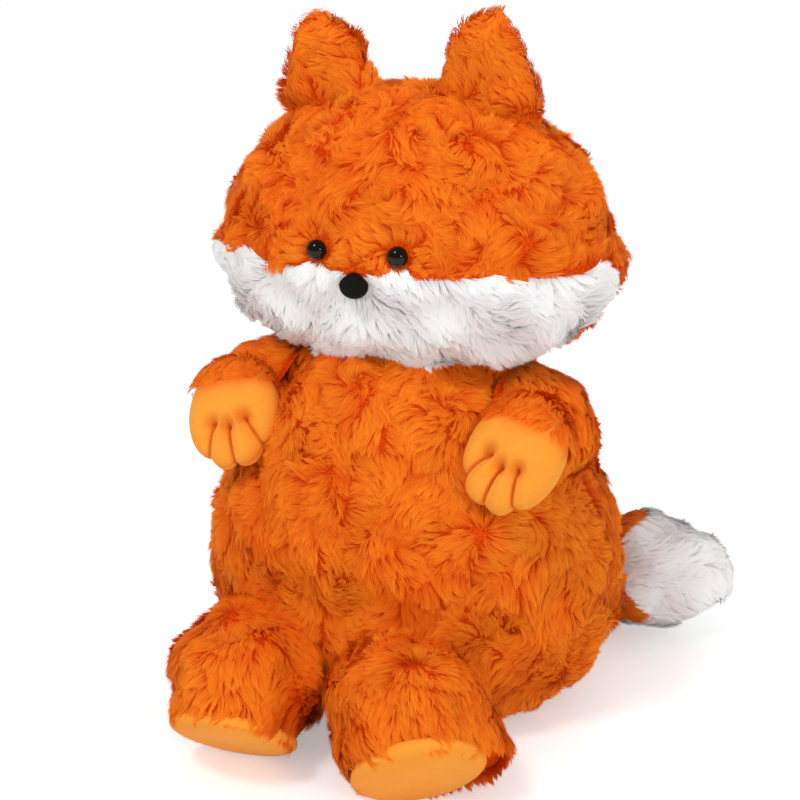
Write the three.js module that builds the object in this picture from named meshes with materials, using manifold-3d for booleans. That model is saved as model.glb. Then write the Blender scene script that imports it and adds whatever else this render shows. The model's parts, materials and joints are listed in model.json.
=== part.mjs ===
// Seated plush fox, 43 cm tall: fabric skins over their fillings, with safety eyes and nose.
// Millimetres, +Z up. The fox faces -Y, its left is +X, and it sits on the plane Z = 0.
import * as THREE from "three";
import { mergeVertices } from "three/addons/utils/BufferGeometryUtils.js";
import Module from "manifold-3d";

const wasm = await Module();
wasm.setup();

const DEGREE = Math.PI / 180;

// Fabric and fits
const PILE = 8; // plush skin, backing and pile together
const VELOUR = 3; // short-pile skin of the paws and soles
const GAP = 0.3; // between pieces that touch
const CLEAR_SHARE = 0.006; // growth of the body or head where a limb sweeps past it
const FLOOR_CUT = 0.5; // depth of the flat where a soft foot meets the floor

// Facets round each form
const FACETS = 20;
const LIMB_FACETS = 14;
const INNER_FACETS = 10; // of the linings and fillings
const BEAD_FACETS = 10;
const PAW_FACETS = 30;
const EAR_ROWS = 6; // of the hollow under an ear

// Lumps of the filling that show through the pile of the back and the crown
const LUMP_HEIGHT = 6; // from a hollow to a top
const LUMP_FADE = 16; // over which they end towards a seam or a joint
const LUMP_STEPS = 3; // to each facet's edge, before faces that add little are merged
const LUMP_ERROR = 1.75; // that merging may cause
const LUMPS_TO_BALL = 3; // waves up to the ball's centre, which the head's and the body's share

// Body: a pear with a flat seat and a ball-shaped top that the head and the arms turn on
const SEAT_RADIUS = 74;
const BELLY_HALF_WIDTH = 138;
const BELLY_HALF_DEPTH = 116;
const BELLY_HEIGHT = 80;
const DOME_RADIUS = 104;
const DOME_CENTRE_HEIGHT = 146;
const DOME_EDGE_ANGLE = 64 * DEGREE; // from the top down to where the shoulders begin
const NECK_HOLE_RADIUS = 42;
const NECK_PLUG_DEPTH = 34;

// Head, measured up from the top of the ball
const HEAD_HALF_WIDTH = 132;
const HEAD_HALF_DEPTH = 90;
const CHIN_DROP = 34;
const CHEEK_RISE = 38;
const CROWN_RISE = 138;
const HEAD_TURN = 20 * DEGREE; // either way
const HEAD_NOD = 8 * DEGREE; // either way
const NAPE_SEAM = -6; // how far behind the cheeks the white face ends

// Ears
const EAR_HALF_WIDTH = 33;
const EAR_HALF_THICKNESS = 13;
const EAR_LENGTH = 50;
const EAR_SPREAD = 50;
const EAR_FORWARD = 8;
const EAR_LEAN = 4 * DEGREE;
const EAR_FOLD = 12 * DEGREE; // either way

// Eyes and nose
const EYE_RADIUS = 6;
const EYE_SPACING = 50;
const EYE_RISE = 13; // above the cheek seam
const NOSE_DROP = 5; // below the cheek seam
const NOSE_HALF_WIDTH = 9;
const NOSE_HALF_HEIGHT = 7.5;
const BEAD_SINK = 4; // depth of a bead's rim in the pile
const SHANK_RADIUS = 2;
const SHANK_TAIL = 5; // shank past the back of the fabric
const WASHER_RADIUS = 7;
const WASHER_THICKNESS = 1.6;

// Arms and paws
const SHOULDER = new THREE.Vector3(0.82, -0.12, 0.56).normalize(); // from the ball's centre
const SHOULDER_DEPTH = 14;
const ARM_DIRECTION = new THREE.Vector3(0.72, -0.62, -0.3).normalize();
const SLEEVE_RADIUS = 37;
const SLEEVE_LENGTH = 54;
const PAW_DIRECTION = new THREE.Vector3(-0.25, -0.6, -0.76).normalize();
const PAW_ACROSS = new THREE.Vector3(1, -0.1, 0);
const PAW_HALF_WIDTH = 29;
const PAW_HALF_THICKNESS = 16;
const PAW_HALF_LENGTH = 36;
const PAW_OFFSET = new THREE.Vector3(5, -48, -2); // of its middle from the cuff's
const TOE_GROOVE = 0.14; // share of the paw's reach
const TOE_ANGLE = 36 * DEGREE; // between stitched lines
const ARM_UP = 20 * DEGREE;

// Legs and soles
const LEG_SPREAD_LEFT = 42;
const LEG_SPREAD_RIGHT = 54;
const LEG_SPLAY_LEFT = 34 * DEGREE; // outwards
const LEG_SPLAY_RIGHT = -9 * DEGREE;
const LEG_RADIUS = 45;
const LEG_REACH = 26; // from the hip to the middle of the foot
const HAUNCH_RADIUS = 28; // of the swelling on a leg's outer side
const HAUNCH_LEFT = new THREE.Vector3(44, -14, -10); // its middle from the hip, outwards along X
const HAUNCH_RIGHT = new THREE.Vector3(25, -10, 0);
const SOLE_RADIUS = 38;
const SOLE_CROWN = 9;
const SOLE_PITCH_LEFT = 34 * DEGREE; // below level
const SOLE_PITCH_RIGHT = 45 * DEGREE;

// Tail
const TAIL_ROOT_RADIUS = 27;
const TAIL_NECK = 35 * DEGREE; // how far the root ball runs on past its middle
const TAIL_RADIUS = 38;
const TAIL_OFFSET = 76;
const TAIL_STANDOFF = 10; // of the root's middle behind the body
const TAIL_HEADING = 64 * DEGREE; // from straight back towards the fox's left
const TAIL_BEND = 50;
const TAIL_IN = -8 * DEGREE;
const TAIL_OUT = 25 * DEGREE;
const TAIL_SLACK = 0.5 * DEGREE; // kept clear past each end of the wag
const TAIL_TIP_SHARE = 0.52; // of the length
const TAIL_FLOOR = 1;
const TAIL_END = new THREE.Vector3(116, 8, 12); // from the root
const TAIL_ARCH = 1.2; // height of the upper half over the lower

const FUR = new THREE.MeshStandardMaterial({ color: 0xe8791c, roughness: 0.95 });
const WHITE_FUR = new THREE.MeshStandardMaterial({ color: 0xf1ece6, roughness: 0.95 });
const PALE = new THREE.MeshStandardMaterial({ color: 0xf2a043, roughness: 0.9 });
const BLACK_GLOSS = new THREE.MeshStandardMaterial({ color: 0x0c0b0b, roughness: 0.12 });
const FLOCK = new THREE.MeshStandardMaterial({ color: 0x151414, roughness: 0.95 });
const WASHER_PLASTIC = new THREE.MeshStandardMaterial({ color: 0xe6e4de, roughness: 0.5 });
const FILLING = new THREE.MeshStandardMaterial({ color: 0xf4f4f2, roughness: 1 });

const UP = new THREE.Vector3(0, 0, 1);
const DOME_CENTRE = new THREE.Vector3(0, 0, DOME_CENTRE_HEIGHT);
const LUMP_WAVE = DOME_CENTRE_HEIGHT / LUMPS_TO_BALL;

function solid(geometry) {
  const bare = new THREE.BufferGeometry();
  bare.setAttribute("position", geometry.getAttribute("position"));
  bare.setIndex(geometry.getIndex());
  const merged = mergeVertices(bare, 1e-3);
  return new wasm.Manifold(
    new wasm.Mesh({
      numProp: 3,
      vertProperties: merged.getAttribute("position").array,
      triVerts: new Uint32Array(merged.getIndex().array),
    }),
  );
}

function cut(from, ...tools) {
  return tools.reduce((left, tool) => left.subtract(tool), from);
}

// The largest of the bodies that a cut leaves, without its slivers.
function largest(form) {
  return form.decompose().reduce((best, body) => (body.volume() > best.volume() ? body : best));
}

function geometryOf(form) {
  const mesh = form.getMesh();
  const geometry = new THREE.BufferGeometry();
  geometry.setAttribute("position", new THREE.BufferAttribute(mesh.vertProperties, 3));
  geometry.setIndex(new THREE.BufferAttribute(mesh.triVerts, 1));
  geometry.computeVertexNormals();
  return geometry;
}

function node(name, form, material) {
  const mesh = new THREE.Mesh(geometryOf(largest(form)), material.clone());
  mesh.name = name;
  return mesh;
}

function moved(geometry, matrix) {
  return geometry.clone().applyMatrix4(matrix);
}

// A matrix that stands +Z along a direction at a point.
function standing(point, direction) {
  const turn = new THREE.Quaternion().setFromUnitVectors(UP, direction);
  return new THREE.Matrix4().compose(point, turn, new THREE.Vector3(1, 1, 1));
}

// The same, with +X kept as near as can be to a given side direction.
function standingAcross(point, direction, across) {
  const normal = direction.clone().cross(across).normalize();
  const side = normal.clone().cross(direction);
  return new THREE.Matrix4().makeBasis(side, normal, direction).setPosition(point);
}

// A profile of (radius, height) points turned about Z.
function turned(points, segments) {
  return new THREE.LatheGeometry(points, segments).rotateX(Math.PI / 2);
}

// A hollow for a ball: its facets all stay a gap outside the ball's radius.
function socket(radius, centre, facets = INNER_FACETS, rows = facets) {
  const outside = (radius + GAP) / Math.cos(Math.PI / 2 / rows);
  const widen = 1 / Math.cos(Math.PI / facets);
  const geometry = new THREE.SphereGeometry(outside, facets, rows).scale(widen, 1, widen);
  return geometry.rotateX(Math.PI / 2).translate(centre.x, centre.y, centre.z);
}

// The part of a profile that lies a distance inside it; its ends stay on the axis.
function inset(points, distance) {
  return points.map((point, i) => {
    const before = points[Math.max(i - 1, 0)];
    const after = points[Math.min(i + 1, points.length - 1)];
    const along = after.clone().sub(before).normalize();
    const x = point.x - along.y * distance;
    const onAxis = i === 0 || i === points.length - 1;
    return new THREE.Vector2(onAxis ? 0 : Math.max(x, 0.5), point.y + along.x * distance);
  });
}

// A filling's profile: every other point of the outside's, a distance inside it.
function lining(points, distance) {
  const last = points.length - 1;
  return inset(points.filter((point, i) => i % 2 === 0 || i === last), distance);
}

function warp(geometry, change) {
  const position = geometry.getAttribute("position");
  const point = new THREE.Vector3();
  for (let i = 0; i < position.count; i++) {
    point.fromBufferAttribute(position, i);
    change(point);
    position.setXYZ(i, point.x, point.y, point.z);
  }
  return geometry;
}

// A form grown a little about a height, to cut what sweeps past it.
function grown(geometry, height) {
  const share = 1 + CLEAR_SHARE;
  return geometry.clone().translate(0, 0, -height).scale(share, share, share).translate(0, 0, height);
}

// How far the lumps lift a point, between -1 and 1: crossed waves along the three axes.
function lump(point) {
  const [x, y, z] = point.toArray().map((along) => (2 * Math.PI * along) / LUMP_WAVE);
  return (Math.sin(x) * Math.cos(y) + Math.sin(y) * Math.cos(z) + Math.sin(z) * Math.cos(x)) / 1.5;
}

// Zero up to a start, then rising to one where lumps are at their full height.
function fading(distance, start) {
  return THREE.MathUtils.smoothstep(distance, start, start + LUMP_FADE);
}

// A form with lumps as far as show allows them, pushed away from a stretch of its axis.
function lumpy(geometry, low, high, show) {
  const fine = geometryOf(solid(geometry).refine(LUMP_STEPS));
  warp(fine, (p) => {
    const outward = p.clone().sub(new THREE.Vector3(0, 0, THREE.MathUtils.clamp(p.z, low, high)));
    p.addScaledVector(outward.normalize(), 0.5 * LUMP_HEIGHT * lump(p) * show(p));
  });
  return solid(fine).simplify(LUMP_ERROR);
}

// A large block on one side of a plane that passes through a point.
function halfSpace(point, direction) {
  const block = new THREE.BoxGeometry(900, 900, 900).translate(0, 0, 450);
  return moved(block, standing(point, direction));
}

// A round hole that runs back from the origin.
function hollow(radius, length, direction) {
  const hole = new THREE.CylinderGeometry(radius, radius, length, 16).rotateX(Math.PI / 2);
  hole.translate(0, 0, -length / 2);
  return solid(moved(hole, standing(new THREE.Vector3(), direction)));
}

// Where a ray first meets a form.
function hit(geometry, origin, direction) {
  const mesh = new THREE.Mesh(geometry, new THREE.MeshBasicMaterial({ side: THREE.DoubleSide }));
  return new THREE.Raycaster(origin, direction).intersectObject(mesh)[0];
}

// Body
const domeEdge = new THREE.Vector2(
  DOME_RADIUS * Math.sin(DOME_EDGE_ANGLE),
  DOME_CENTRE_HEIGHT + DOME_RADIUS * Math.cos(DOME_EDGE_ANGLE),
);
const shoulderSlope = (domeEdge.y - BELLY_HEIGHT) * 0.4;
const bodyPath = new THREE.Path();
bodyPath.moveTo(0, 0);
bodyPath.lineTo(SEAT_RADIUS, 0);
bodyPath.bezierCurveTo(
  SEAT_RADIUS + 0.62 * (BELLY_HALF_WIDTH - SEAT_RADIUS), 0,
  BELLY_HALF_WIDTH, BELLY_HEIGHT * 0.45,
  BELLY_HALF_WIDTH, BELLY_HEIGHT,
);
bodyPath.bezierCurveTo(
  BELLY_HALF_WIDTH, BELLY_HEIGHT + 0.5 * (domeEdge.y - BELLY_HEIGHT),
  domeEdge.x + shoulderSlope * Math.cos(DOME_EDGE_ANGLE),
  domeEdge.y - shoulderSlope * Math.sin(DOME_EDGE_ANGLE),
  domeEdge.x, domeEdge.y,
);
bodyPath.absarc(0, DOME_CENTRE_HEIGHT, DOME_RADIUS, Math.PI / 2 - DOME_EDGE_ANGLE, Math.PI / 2);
const bodyProfile = bodyPath.getPoints(3);

function bodyForm(depth) {
  const flatness = BELLY_HALF_DEPTH / BELLY_HALF_WIDTH;
  const form = depth ? turned(lining(bodyProfile, depth), INNER_FACETS) : turned(bodyProfile, FACETS);
  return warp(form, (p) => {
    const round = THREE.MathUtils.smoothstep(p.z, BELLY_HEIGHT, domeEdge.y);
    p.y *= THREE.MathUtils.lerp(flatness, 1, round);
  });
}

const bodyOuter = bodyForm(0);
const bodySolid = solid(bodyOuter);

// The legs' round ends sit in the front of the body, their hips level with the belly's front
const footHeight = LEG_RADIUS - FLOOR_CUT;
const hips = [LEG_SPREAD_LEFT, -LEG_SPREAD_RIGHT].map(
  (spread) => new THREE.Vector3(spread, -BELLY_HALF_DEPTH, footHeight),
);
const tailHeight = TAIL_RADIUS + TAIL_FLOOR;
const tailRoot = hit(
  bodyOuter,
  new THREE.Vector3(TAIL_OFFSET, 900, tailHeight),
  new THREE.Vector3(0, -1, 0),
).point;
tailRoot.y += TAIL_STANDOFF;
const sockets = hips.map((centre) => solid(socket(LEG_RADIUS, centre)));
sockets.push(solid(socket(TAIL_ROOT_RADIUS, tailRoot)));

// A column over the seat or under the neck.
function column(radius, bottom, top, flatness = 1) {
  const tube = new THREE.CylinderGeometry(radius, radius, top - bottom, FACETS);
  tube.rotateX(Math.PI / 2).scale(1, flatness, 1);
  return solid(tube.translate(0, 0, (top + bottom) / 2));
}

const seatFlatness = BELLY_HALF_DEPTH / BELLY_HALF_WIDTH;
const domeTop = DOME_CENTRE_HEIGHT + DOME_RADIUS;
const plugBottom = domeTop - NECK_PLUG_DEPTH;
const seatHole = column(SEAT_RADIUS, -PILE, 2 * PILE, seatFlatness);
const neckHoleCorner = NECK_HOLE_RADIUS / Math.cos(Math.PI / FACETS); // its flats clear the turning plug
const neckHole = column(neckHoleCorner, plugBottom - GAP, domeTop + PILE);
const bodyHollows = [solid(bodyForm(PILE)), seatHole, neckHole, ...sockets];
const bodySkin = cut(bodySolid, ...bodyHollows);
const bodyLumpy = lumpy(bodyOuter, 0, DOME_CENTRE_HEIGHT, (p) => {
  const level = fading(p.z, LUMP_FADE) * fading(domeEdge.y - p.z, 0);
  return level * fading(p.y, 0) * fading(p.distanceTo(tailRoot), 2 * TAIL_ROOT_RADIUS);
});
const sideSeam = new THREE.Vector3(0, GAP / 2, 0);
const frontHalf = solid(halfSpace(sideSeam.clone().negate(), new THREE.Vector3(0, -1, 0)));
const backHalf = solid(halfSpace(sideSeam, new THREE.Vector3(0, 1, 0)));
const frontSeam = new THREE.Vector3(GAP / 2, 0, 0);
const leftHalf = solid(halfSpace(frontSeam, new THREE.Vector3(1, 0, 0)));
const rightHalf = solid(halfSpace(frontSeam.clone().negate(), new THREE.Vector3(-1, 0, 0)));
const bodyFront = bodySkin.intersect(frontHalf);

const toy = new THREE.Group();
toy.name = "plush_fox";
toy.add(node("body_front_left_panel", bodyFront.intersect(leftHalf), FUR));
toy.add(node("body_front_right_panel", bodyFront.intersect(rightHalf), FUR));
toy.add(node("body_back_panel", cut(bodyLumpy, ...bodyHollows).intersect(backHalf), FUR));
toy.add(node("seat_panel", column(SEAT_RADIUS - GAP, 0, PILE, seatFlatness), FUR));
toy.add(node("body_stuffing", cut(solid(bodyForm(PILE + GAP)), neckHole, ...sockets), FILLING));
const neckPlug = column(NECK_HOLE_RADIUS - GAP, plugBottom, domeTop + PILE);
toy.add(node("neck_stuffing", neckPlug.intersect(bodySolid), FILLING));

// Head, built about the ball's centre
const cheekHeight = DOME_RADIUS + CHEEK_RISE;
const chinHeight = DOME_RADIUS - CHIN_DROP;
const crownHeight = DOME_RADIUS + CROWN_RISE;
const headPath = new THREE.Path();
headPath.moveTo(0, chinHeight);
headPath.bezierCurveTo(
  0.62 * HEAD_HALF_WIDTH, chinHeight,
  0.94 * HEAD_HALF_WIDTH, THREE.MathUtils.lerp(chinHeight, cheekHeight, 0.4),
  HEAD_HALF_WIDTH, cheekHeight,
);
headPath.bezierCurveTo(
  0.92 * HEAD_HALF_WIDTH, THREE.MathUtils.lerp(cheekHeight, crownHeight, 0.33),
  0.74 * HEAD_HALF_WIDTH, crownHeight,
  0, crownHeight,
);
const headProfile = headPath.getPoints(5);

function headForm(depth) {
  const flatness = HEAD_HALF_DEPTH / HEAD_HALF_WIDTH;
  const form = depth ? turned(lining(headProfile, depth), INNER_FACETS) : turned(headProfile, FACETS);
  return form.scale(1, flatness, 1);
}

const headOuter = headForm(0);
const cup = solid(socket(DOME_RADIUS, new THREE.Vector3(), FACETS));
const head = new THREE.Group();
head.name = "head";
head.position.copy(DOME_CENTRE);
toy.add(head);

// Ears: each has a rounded root that rolls in a groove of the crown
const earRadius = EAR_HALF_THICKNESS;
const earSeat = hit(
  headOuter,
  new THREE.Vector3(EAR_SPREAD, -EAR_FORWARD, 900),
  new THREE.Vector3(0, 0, -1),
).point;
const earPath = new THREE.Path();
earPath.moveTo(0, -earRadius);
earPath.bezierCurveTo(
  0.7 * EAR_HALF_WIDTH, -earRadius,
  EAR_HALF_WIDTH, -0.5 * earRadius,
  EAR_HALF_WIDTH, 0,
);
earPath.bezierCurveTo(
  0.95 * EAR_HALF_WIDTH, 0.45 * EAR_LENGTH,
  0.4 * EAR_HALF_WIDTH, EAR_LENGTH,
  0, EAR_LENGTH,
);
const earForm = turned(earPath.getPoints(4), LIMB_FACETS).scale(1, EAR_HALF_THICKNESS / EAR_HALF_WIDTH, 1);
const groove = socket(earRadius, new THREE.Vector3(), INNER_FACETS, EAR_ROWS).scale(EAR_HALF_WIDTH / earRadius, 1, 1);

// Every side part is built on the fox's left and mirrored for the right.
const SIDES = [
  ["left", 1],
  ["right", -1],
];

function mirrored(geometry, side) {
  if (side > 0) {
    return geometry.clone();
  }
  const copy = geometry.clone().scale(-1, 1, 1);
  const index = copy.getIndex();
  for (let i = 0; i < index.count; i += 3) {
    const swap = index.getX(i + 1);
    index.setX(i + 1, index.getX(i + 2));
    index.setX(i + 2, swap);
  }
  return copy;
}

const earPlace = new THREE.Matrix4().makeRotationY(EAR_LEAN).setPosition(earSeat);
const earHollows = SIDES.map(([, side]) => solid(mirrored(moved(groove, earPlace), side)));

// Beads: eyes and nose, each with a shank through the fabric and a lock washer behind it
const skinDepth = PILE - BEAD_SINK;
const shankEnd = -skinDepth - WASHER_THICKNESS - 2 * GAP - SHANK_TAIL;

function beadProfile(radius, height) {
  const path = new THREE.Path();
  path.moveTo(0, shankEnd);
  path.lineTo(SHANK_RADIUS, shankEnd);
  path.lineTo(SHANK_RADIUS, 0);
  path.lineTo(radius, 0);
  path.bezierCurveTo(radius, 0.6 * height, 0.6 * radius, height, 0, height);
  return path.getPoints(3);
}

// The straight hole through the pile that a bead and its shank sit in.
function beadRoomProfile(radius, height) {
  return [
    [0, shankEnd - GAP],
    [SHANK_RADIUS + GAP, shankEnd - GAP],
    [SHANK_RADIUS + GAP, -GAP],
    [radius + GAP, -GAP],
    [radius + GAP, height + GAP],
    [0, height + GAP],
  ].map((point) => new THREE.Vector2(...point));
}

const eyeSeat = hit(
  headOuter,
  new THREE.Vector3(EYE_SPACING / 2, -900, cheekHeight + EYE_RISE),
  new THREE.Vector3(0, 1, 0),
);
const noseSeat = hit(
  headOuter,
  new THREE.Vector3(0, -900, cheekHeight - NOSE_DROP),
  new THREE.Vector3(0, 1, 0),
);
const forward = new THREE.Vector3(0, -1, 0);

function beadPlace(seat, direction) {
  return standing(seat.point.clone().addScaledVector(direction, -BEAD_SINK), direction);
}

const eyePlace = beadPlace(eyeSeat, eyeSeat.face.normal);
const nosePlace = beadPlace(noseSeat, forward);
const noseScale = [1, NOSE_HALF_HEIGHT / NOSE_HALF_WIDTH, 1];
const eyeHeight = BEAD_SINK + 1.5;
const noseHeight = BEAD_SINK + 4;
const eyeBead = turned(beadProfile(EYE_RADIUS, eyeHeight), BEAD_FACETS);
const eyeForm = moved(eyeBead, eyePlace);
const eyeRoom = moved(turned(beadRoomProfile(EYE_RADIUS, eyeHeight), BEAD_FACETS), eyePlace);
const noseBead = turned(beadProfile(NOSE_HALF_WIDTH, noseHeight), BEAD_FACETS);
const noseForm = moved(noseBead.scale(...noseScale), nosePlace);
const noseHole = turned(beadRoomProfile(NOSE_HALF_WIDTH, noseHeight), BEAD_FACETS);
const noseRoom = moved(noseHole.scale(...noseScale), nosePlace);

const washerTop = -skinDepth - 2 * GAP;
const washerProfile = [
  [SHANK_RADIUS + GAP, washerTop - WASHER_THICKNESS],
  [WASHER_RADIUS, washerTop - WASHER_THICKNESS],
  [WASHER_RADIUS, washerTop],
  [SHANK_RADIUS + GAP, washerTop],
  [SHANK_RADIUS + GAP, washerTop - WASHER_THICKNESS],
].map((point) => new THREE.Vector2(...point));
const washerForm = turned(washerProfile, BEAD_FACETS);

function hardwareForm(top) {
  const profile = [
    [0, shankEnd - GAP],
    [WASHER_RADIUS + 2 * GAP, shankEnd - GAP],
    [WASHER_RADIUS + 2 * GAP, top],
    [0, top],
  ].map((point) => new THREE.Vector2(...point));
  return turned(profile, BEAD_FACETS);
}

function hardwareRooms(top) {
  const room = hardwareForm(top);
  const eyes = SIDES.map(([, side]) => solid(mirrored(moved(room, eyePlace), side)));
  return [solid(moved(room, nosePlace)), ...eyes];
}

const beadRooms = [solid(noseRoom), ...SIDES.map(([, side]) => solid(mirrored(eyeRoom, side)))];
const washerRooms = hardwareRooms(washerTop + GAP);
const headHollows = [solid(headForm(PILE)), cup, ...earHollows, ...beadRooms, ...washerRooms];
const headSkin = cut(solid(headOuter), ...headHollows);
const headLumpy = lumpy(headOuter, cheekHeight, cheekHeight, (p) => {
  const oneSide = new THREE.Vector3(Math.abs(p.x), p.y, p.z);
  const besideEar = fading(oneSide.distanceTo(earSeat), EAR_HALF_WIDTH);
  return besideEar * fading(oneSide.distanceTo(eyeSeat.point), EYE_RADIUS) * fading(p.z - cheekHeight, 0);
});
const seamHeight = new THREE.Vector3(0, 0, cheekHeight);
const aboveSeam = solid(halfSpace(seamHeight.clone().addScaledVector(UP, GAP / 2), UP));
const belowSeam = solid(
  halfSpace(seamHeight.clone().addScaledVector(UP, -GAP / 2), UP.clone().negate()),
);
const napeSeam = new THREE.Vector3(0, NAPE_SEAM, 0);
const inFront = solid(halfSpace(napeSeam.clone().sub(sideSeam), forward));
const behind = solid(halfSpace(napeSeam.clone().add(sideSeam), forward.clone().negate()));
head.add(node("head_crown", cut(headLumpy, ...headHollows).intersect(aboveSeam), FUR));
head.add(node("face_panel", headSkin.intersect(belowSeam).intersect(inFront), WHITE_FUR));
head.add(node("head_nape", headSkin.intersect(belowSeam).intersect(behind), FUR));
const headCore = cut(solid(headForm(PILE + GAP)), cup, ...earHollows, ...hardwareRooms(0));
head.add(node("head_stuffing", headCore, FILLING));
head.add(node("nose", solid(noseForm), FLOCK));
head.add(node("nose_washer", solid(moved(washerForm, nosePlace)), WASHER_PLASTIC));

for (const [name, side] of SIDES) {
  head.add(node(`eye_${name}`, solid(mirrored(eyeForm, side)), BLACK_GLOSS));
  const washer = mirrored(moved(washerForm, eyePlace), side);
  head.add(node(`eye_washer_${name}`, solid(washer), WASHER_PLASTIC));
  const ear = new THREE.Group();
  ear.name = `ear_${name}`;
  ear.position.set(side * earSeat.x, earSeat.y, earSeat.z);
  ear.rotation.y = side * EAR_LEAN;
  const clear = new THREE.Matrix4().makeRotationY(-EAR_LEAN);
  clear.multiply(new THREE.Matrix4().makeTranslation(-earSeat.x, -earSeat.y, -earSeat.z));
  const crown = [-1, 0, 1].map((step) => {
    const fold = new THREE.Matrix4().makeRotationX(step * EAR_FOLD);
    const around = cut(solid(headOuter), earHollows[0]);
    return solid(moved(geometryOf(around), fold.multiply(clear)));
  });
  const earSolid = cut(solid(earForm), ...crown);
  ear.add(node(`ear_${name}_skin`, solid(mirrored(geometryOf(earSolid), side)), FUR));
  head.add(ear);
}

// Arms: sleeve and paw turn on the body's ball about the shoulder
const sleevePath = new THREE.Path();
sleevePath.moveTo(0, -0.5 * SLEEVE_RADIUS);
sleevePath.bezierCurveTo(
  0.7 * SLEEVE_RADIUS, -0.5 * SLEEVE_RADIUS,
  0.9 * SLEEVE_RADIUS, -0.2 * SLEEVE_RADIUS,
  0.94 * SLEEVE_RADIUS, 0.2 * SLEEVE_LENGTH,
);
sleevePath.bezierCurveTo(
  SLEEVE_RADIUS, 0.5 * SLEEVE_LENGTH,
  1.08 * SLEEVE_RADIUS, SLEEVE_LENGTH,
  0, SLEEVE_LENGTH,
);
const sleeveProfile = sleevePath.getPoints(4);
const shoulder = SHOULDER.clone().multiplyScalar(DOME_RADIUS - SHOULDER_DEPTH);
const sleevePlace = standing(shoulder, ARM_DIRECTION);

function sleeveForm(depth) {
  const points = depth > 0 ? lining(sleeveProfile, depth) : inset(sleeveProfile, depth);
  return moved(turned(points, depth > 0 ? INNER_FACETS : LIMB_FACETS), sleevePlace);
}

const cuff = shoulder.clone().addScaledVector(ARM_DIRECTION, SLEEVE_LENGTH - SLEEVE_RADIUS);
const pawMiddle = cuff.clone().add(PAW_OFFSET);

// A flat mitten whose three stitched lines part the tip into four toes.
function pawForm(depth) {
  const mitten = depth
    ? new THREE.SphereGeometry(1, INNER_FACETS, 4)
    : new THREE.SphereGeometry(1, PAW_FACETS, 6);
  const form = warp(mitten, (p) => {
    const bearing = Math.atan2(p.x, p.z);
    const tip = THREE.MathUtils.smoothstep(p.z, 0, 0.7);
    const lines = [-TOE_ANGLE, 0, TOE_ANGLE].map((line) => ((bearing - line) / 0.12) ** 2);
    const groove = lines.reduce((sum, square) => sum + Math.exp(-square), 0);
    p.x *= (PAW_HALF_WIDTH - depth) * (1 - TOE_GROOVE * tip * groove);
    p.z *= (PAW_HALF_LENGTH - depth) * (1 - TOE_GROOVE * tip * groove);
    p.y *= PAW_HALF_THICKNESS - depth;
  });
  return moved(form, standingAcross(pawMiddle, PAW_DIRECTION, PAW_ACROSS));
}

const armAxis = SHOULDER.clone().negate(); // a positive turn lifts the paw
const armSteps = [0, ARM_UP];
const bodyAboutBall = grown(bodyOuter, DOME_CENTRE_HEIGHT).translate(0, 0, -DOME_CENTRE_HEIGHT);
const headRound = grown(headOuter, cheekHeight);
const armStops = [];
for (const angle of armSteps) {
  const lift = new THREE.Matrix4().makeRotationAxis(armAxis, -angle);
  armStops.push(solid(moved(bodyAboutBall, lift)));
  for (const nod of [0, HEAD_NOD]) {
    for (const turn of [-HEAD_TURN, 0, HEAD_TURN]) {
      const headTurned = headRound.clone().rotateX(nod).rotateZ(turn);
      armStops.push(solid(moved(headTurned, lift)));
    }
  }
}
const sleeveSolid = solid(sleeveForm(0));
const sleeveSkin = cut(sleeveSolid, solid(sleeveForm(PILE)), cup, ...armStops);
const sleeveCore = cut(solid(sleeveForm(PILE + GAP)), cup, ...armStops);
const sleeveRoom = solid(sleeveForm(-GAP));
const pawSkin = cut(solid(pawForm(0)), sleeveRoom, solid(pawForm(VELOUR)), ...armStops);
const pawCore = cut(solid(pawForm(VELOUR + GAP)), sleeveRoom, ...armStops);

for (const [name, side] of SIDES) {
  const arm = new THREE.Group();
  arm.name = `arm_${name}`;
  arm.position.copy(DOME_CENTRE);
  const put = (label, form, material) =>
    arm.add(node(label, solid(mirrored(geometryOf(form), side)), material));
  put(`sleeve_${name}`, sleeveSkin, FUR);
  put(`arm_stuffing_${name}`, sleeveCore, FILLING);
  put(`paw_${name}`, pawSkin, PALE);
  put(`paw_stuffing_${name}`, pawCore, FILLING);
  toy.add(arm);
}

// Legs: a round hip end in the body, a haunch beside it, a foot in front and a crowned sole pad
function legForm(depth, foot, haunch) {
  const facets = depth ? INNER_FACETS : LIMB_FACETS;
  const balls = [[new THREE.Vector3(), LEG_RADIUS], [foot, LEG_RADIUS], [haunch, HAUNCH_RADIUS]];
  return wasm.Manifold.hull(balls.map(([centre, radius]) => {
    const ball = new THREE.SphereGeometry(radius - depth, facets, facets / 2);
    return solid(ball.translate(centre.x, centre.y, centre.z));
  }));
}

const soleDepth = Math.sqrt(LEG_RADIUS ** 2 - SOLE_RADIUS ** 2);
const solePath = new THREE.Path();
solePath.moveTo(0, 0);
solePath.lineTo(SOLE_RADIUS, 0);
solePath.bezierCurveTo(
  SOLE_RADIUS, 0.6 * SOLE_CROWN,
  0.7 * SOLE_RADIUS, SOLE_CROWN,
  0, SOLE_CROWN,
);
const soleDisc = turned(solePath.getPoints(4), LIMB_FACETS);
const floor = solid(halfSpace(new THREE.Vector3(0, 0, -footHeight), UP.clone().negate()));

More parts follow.
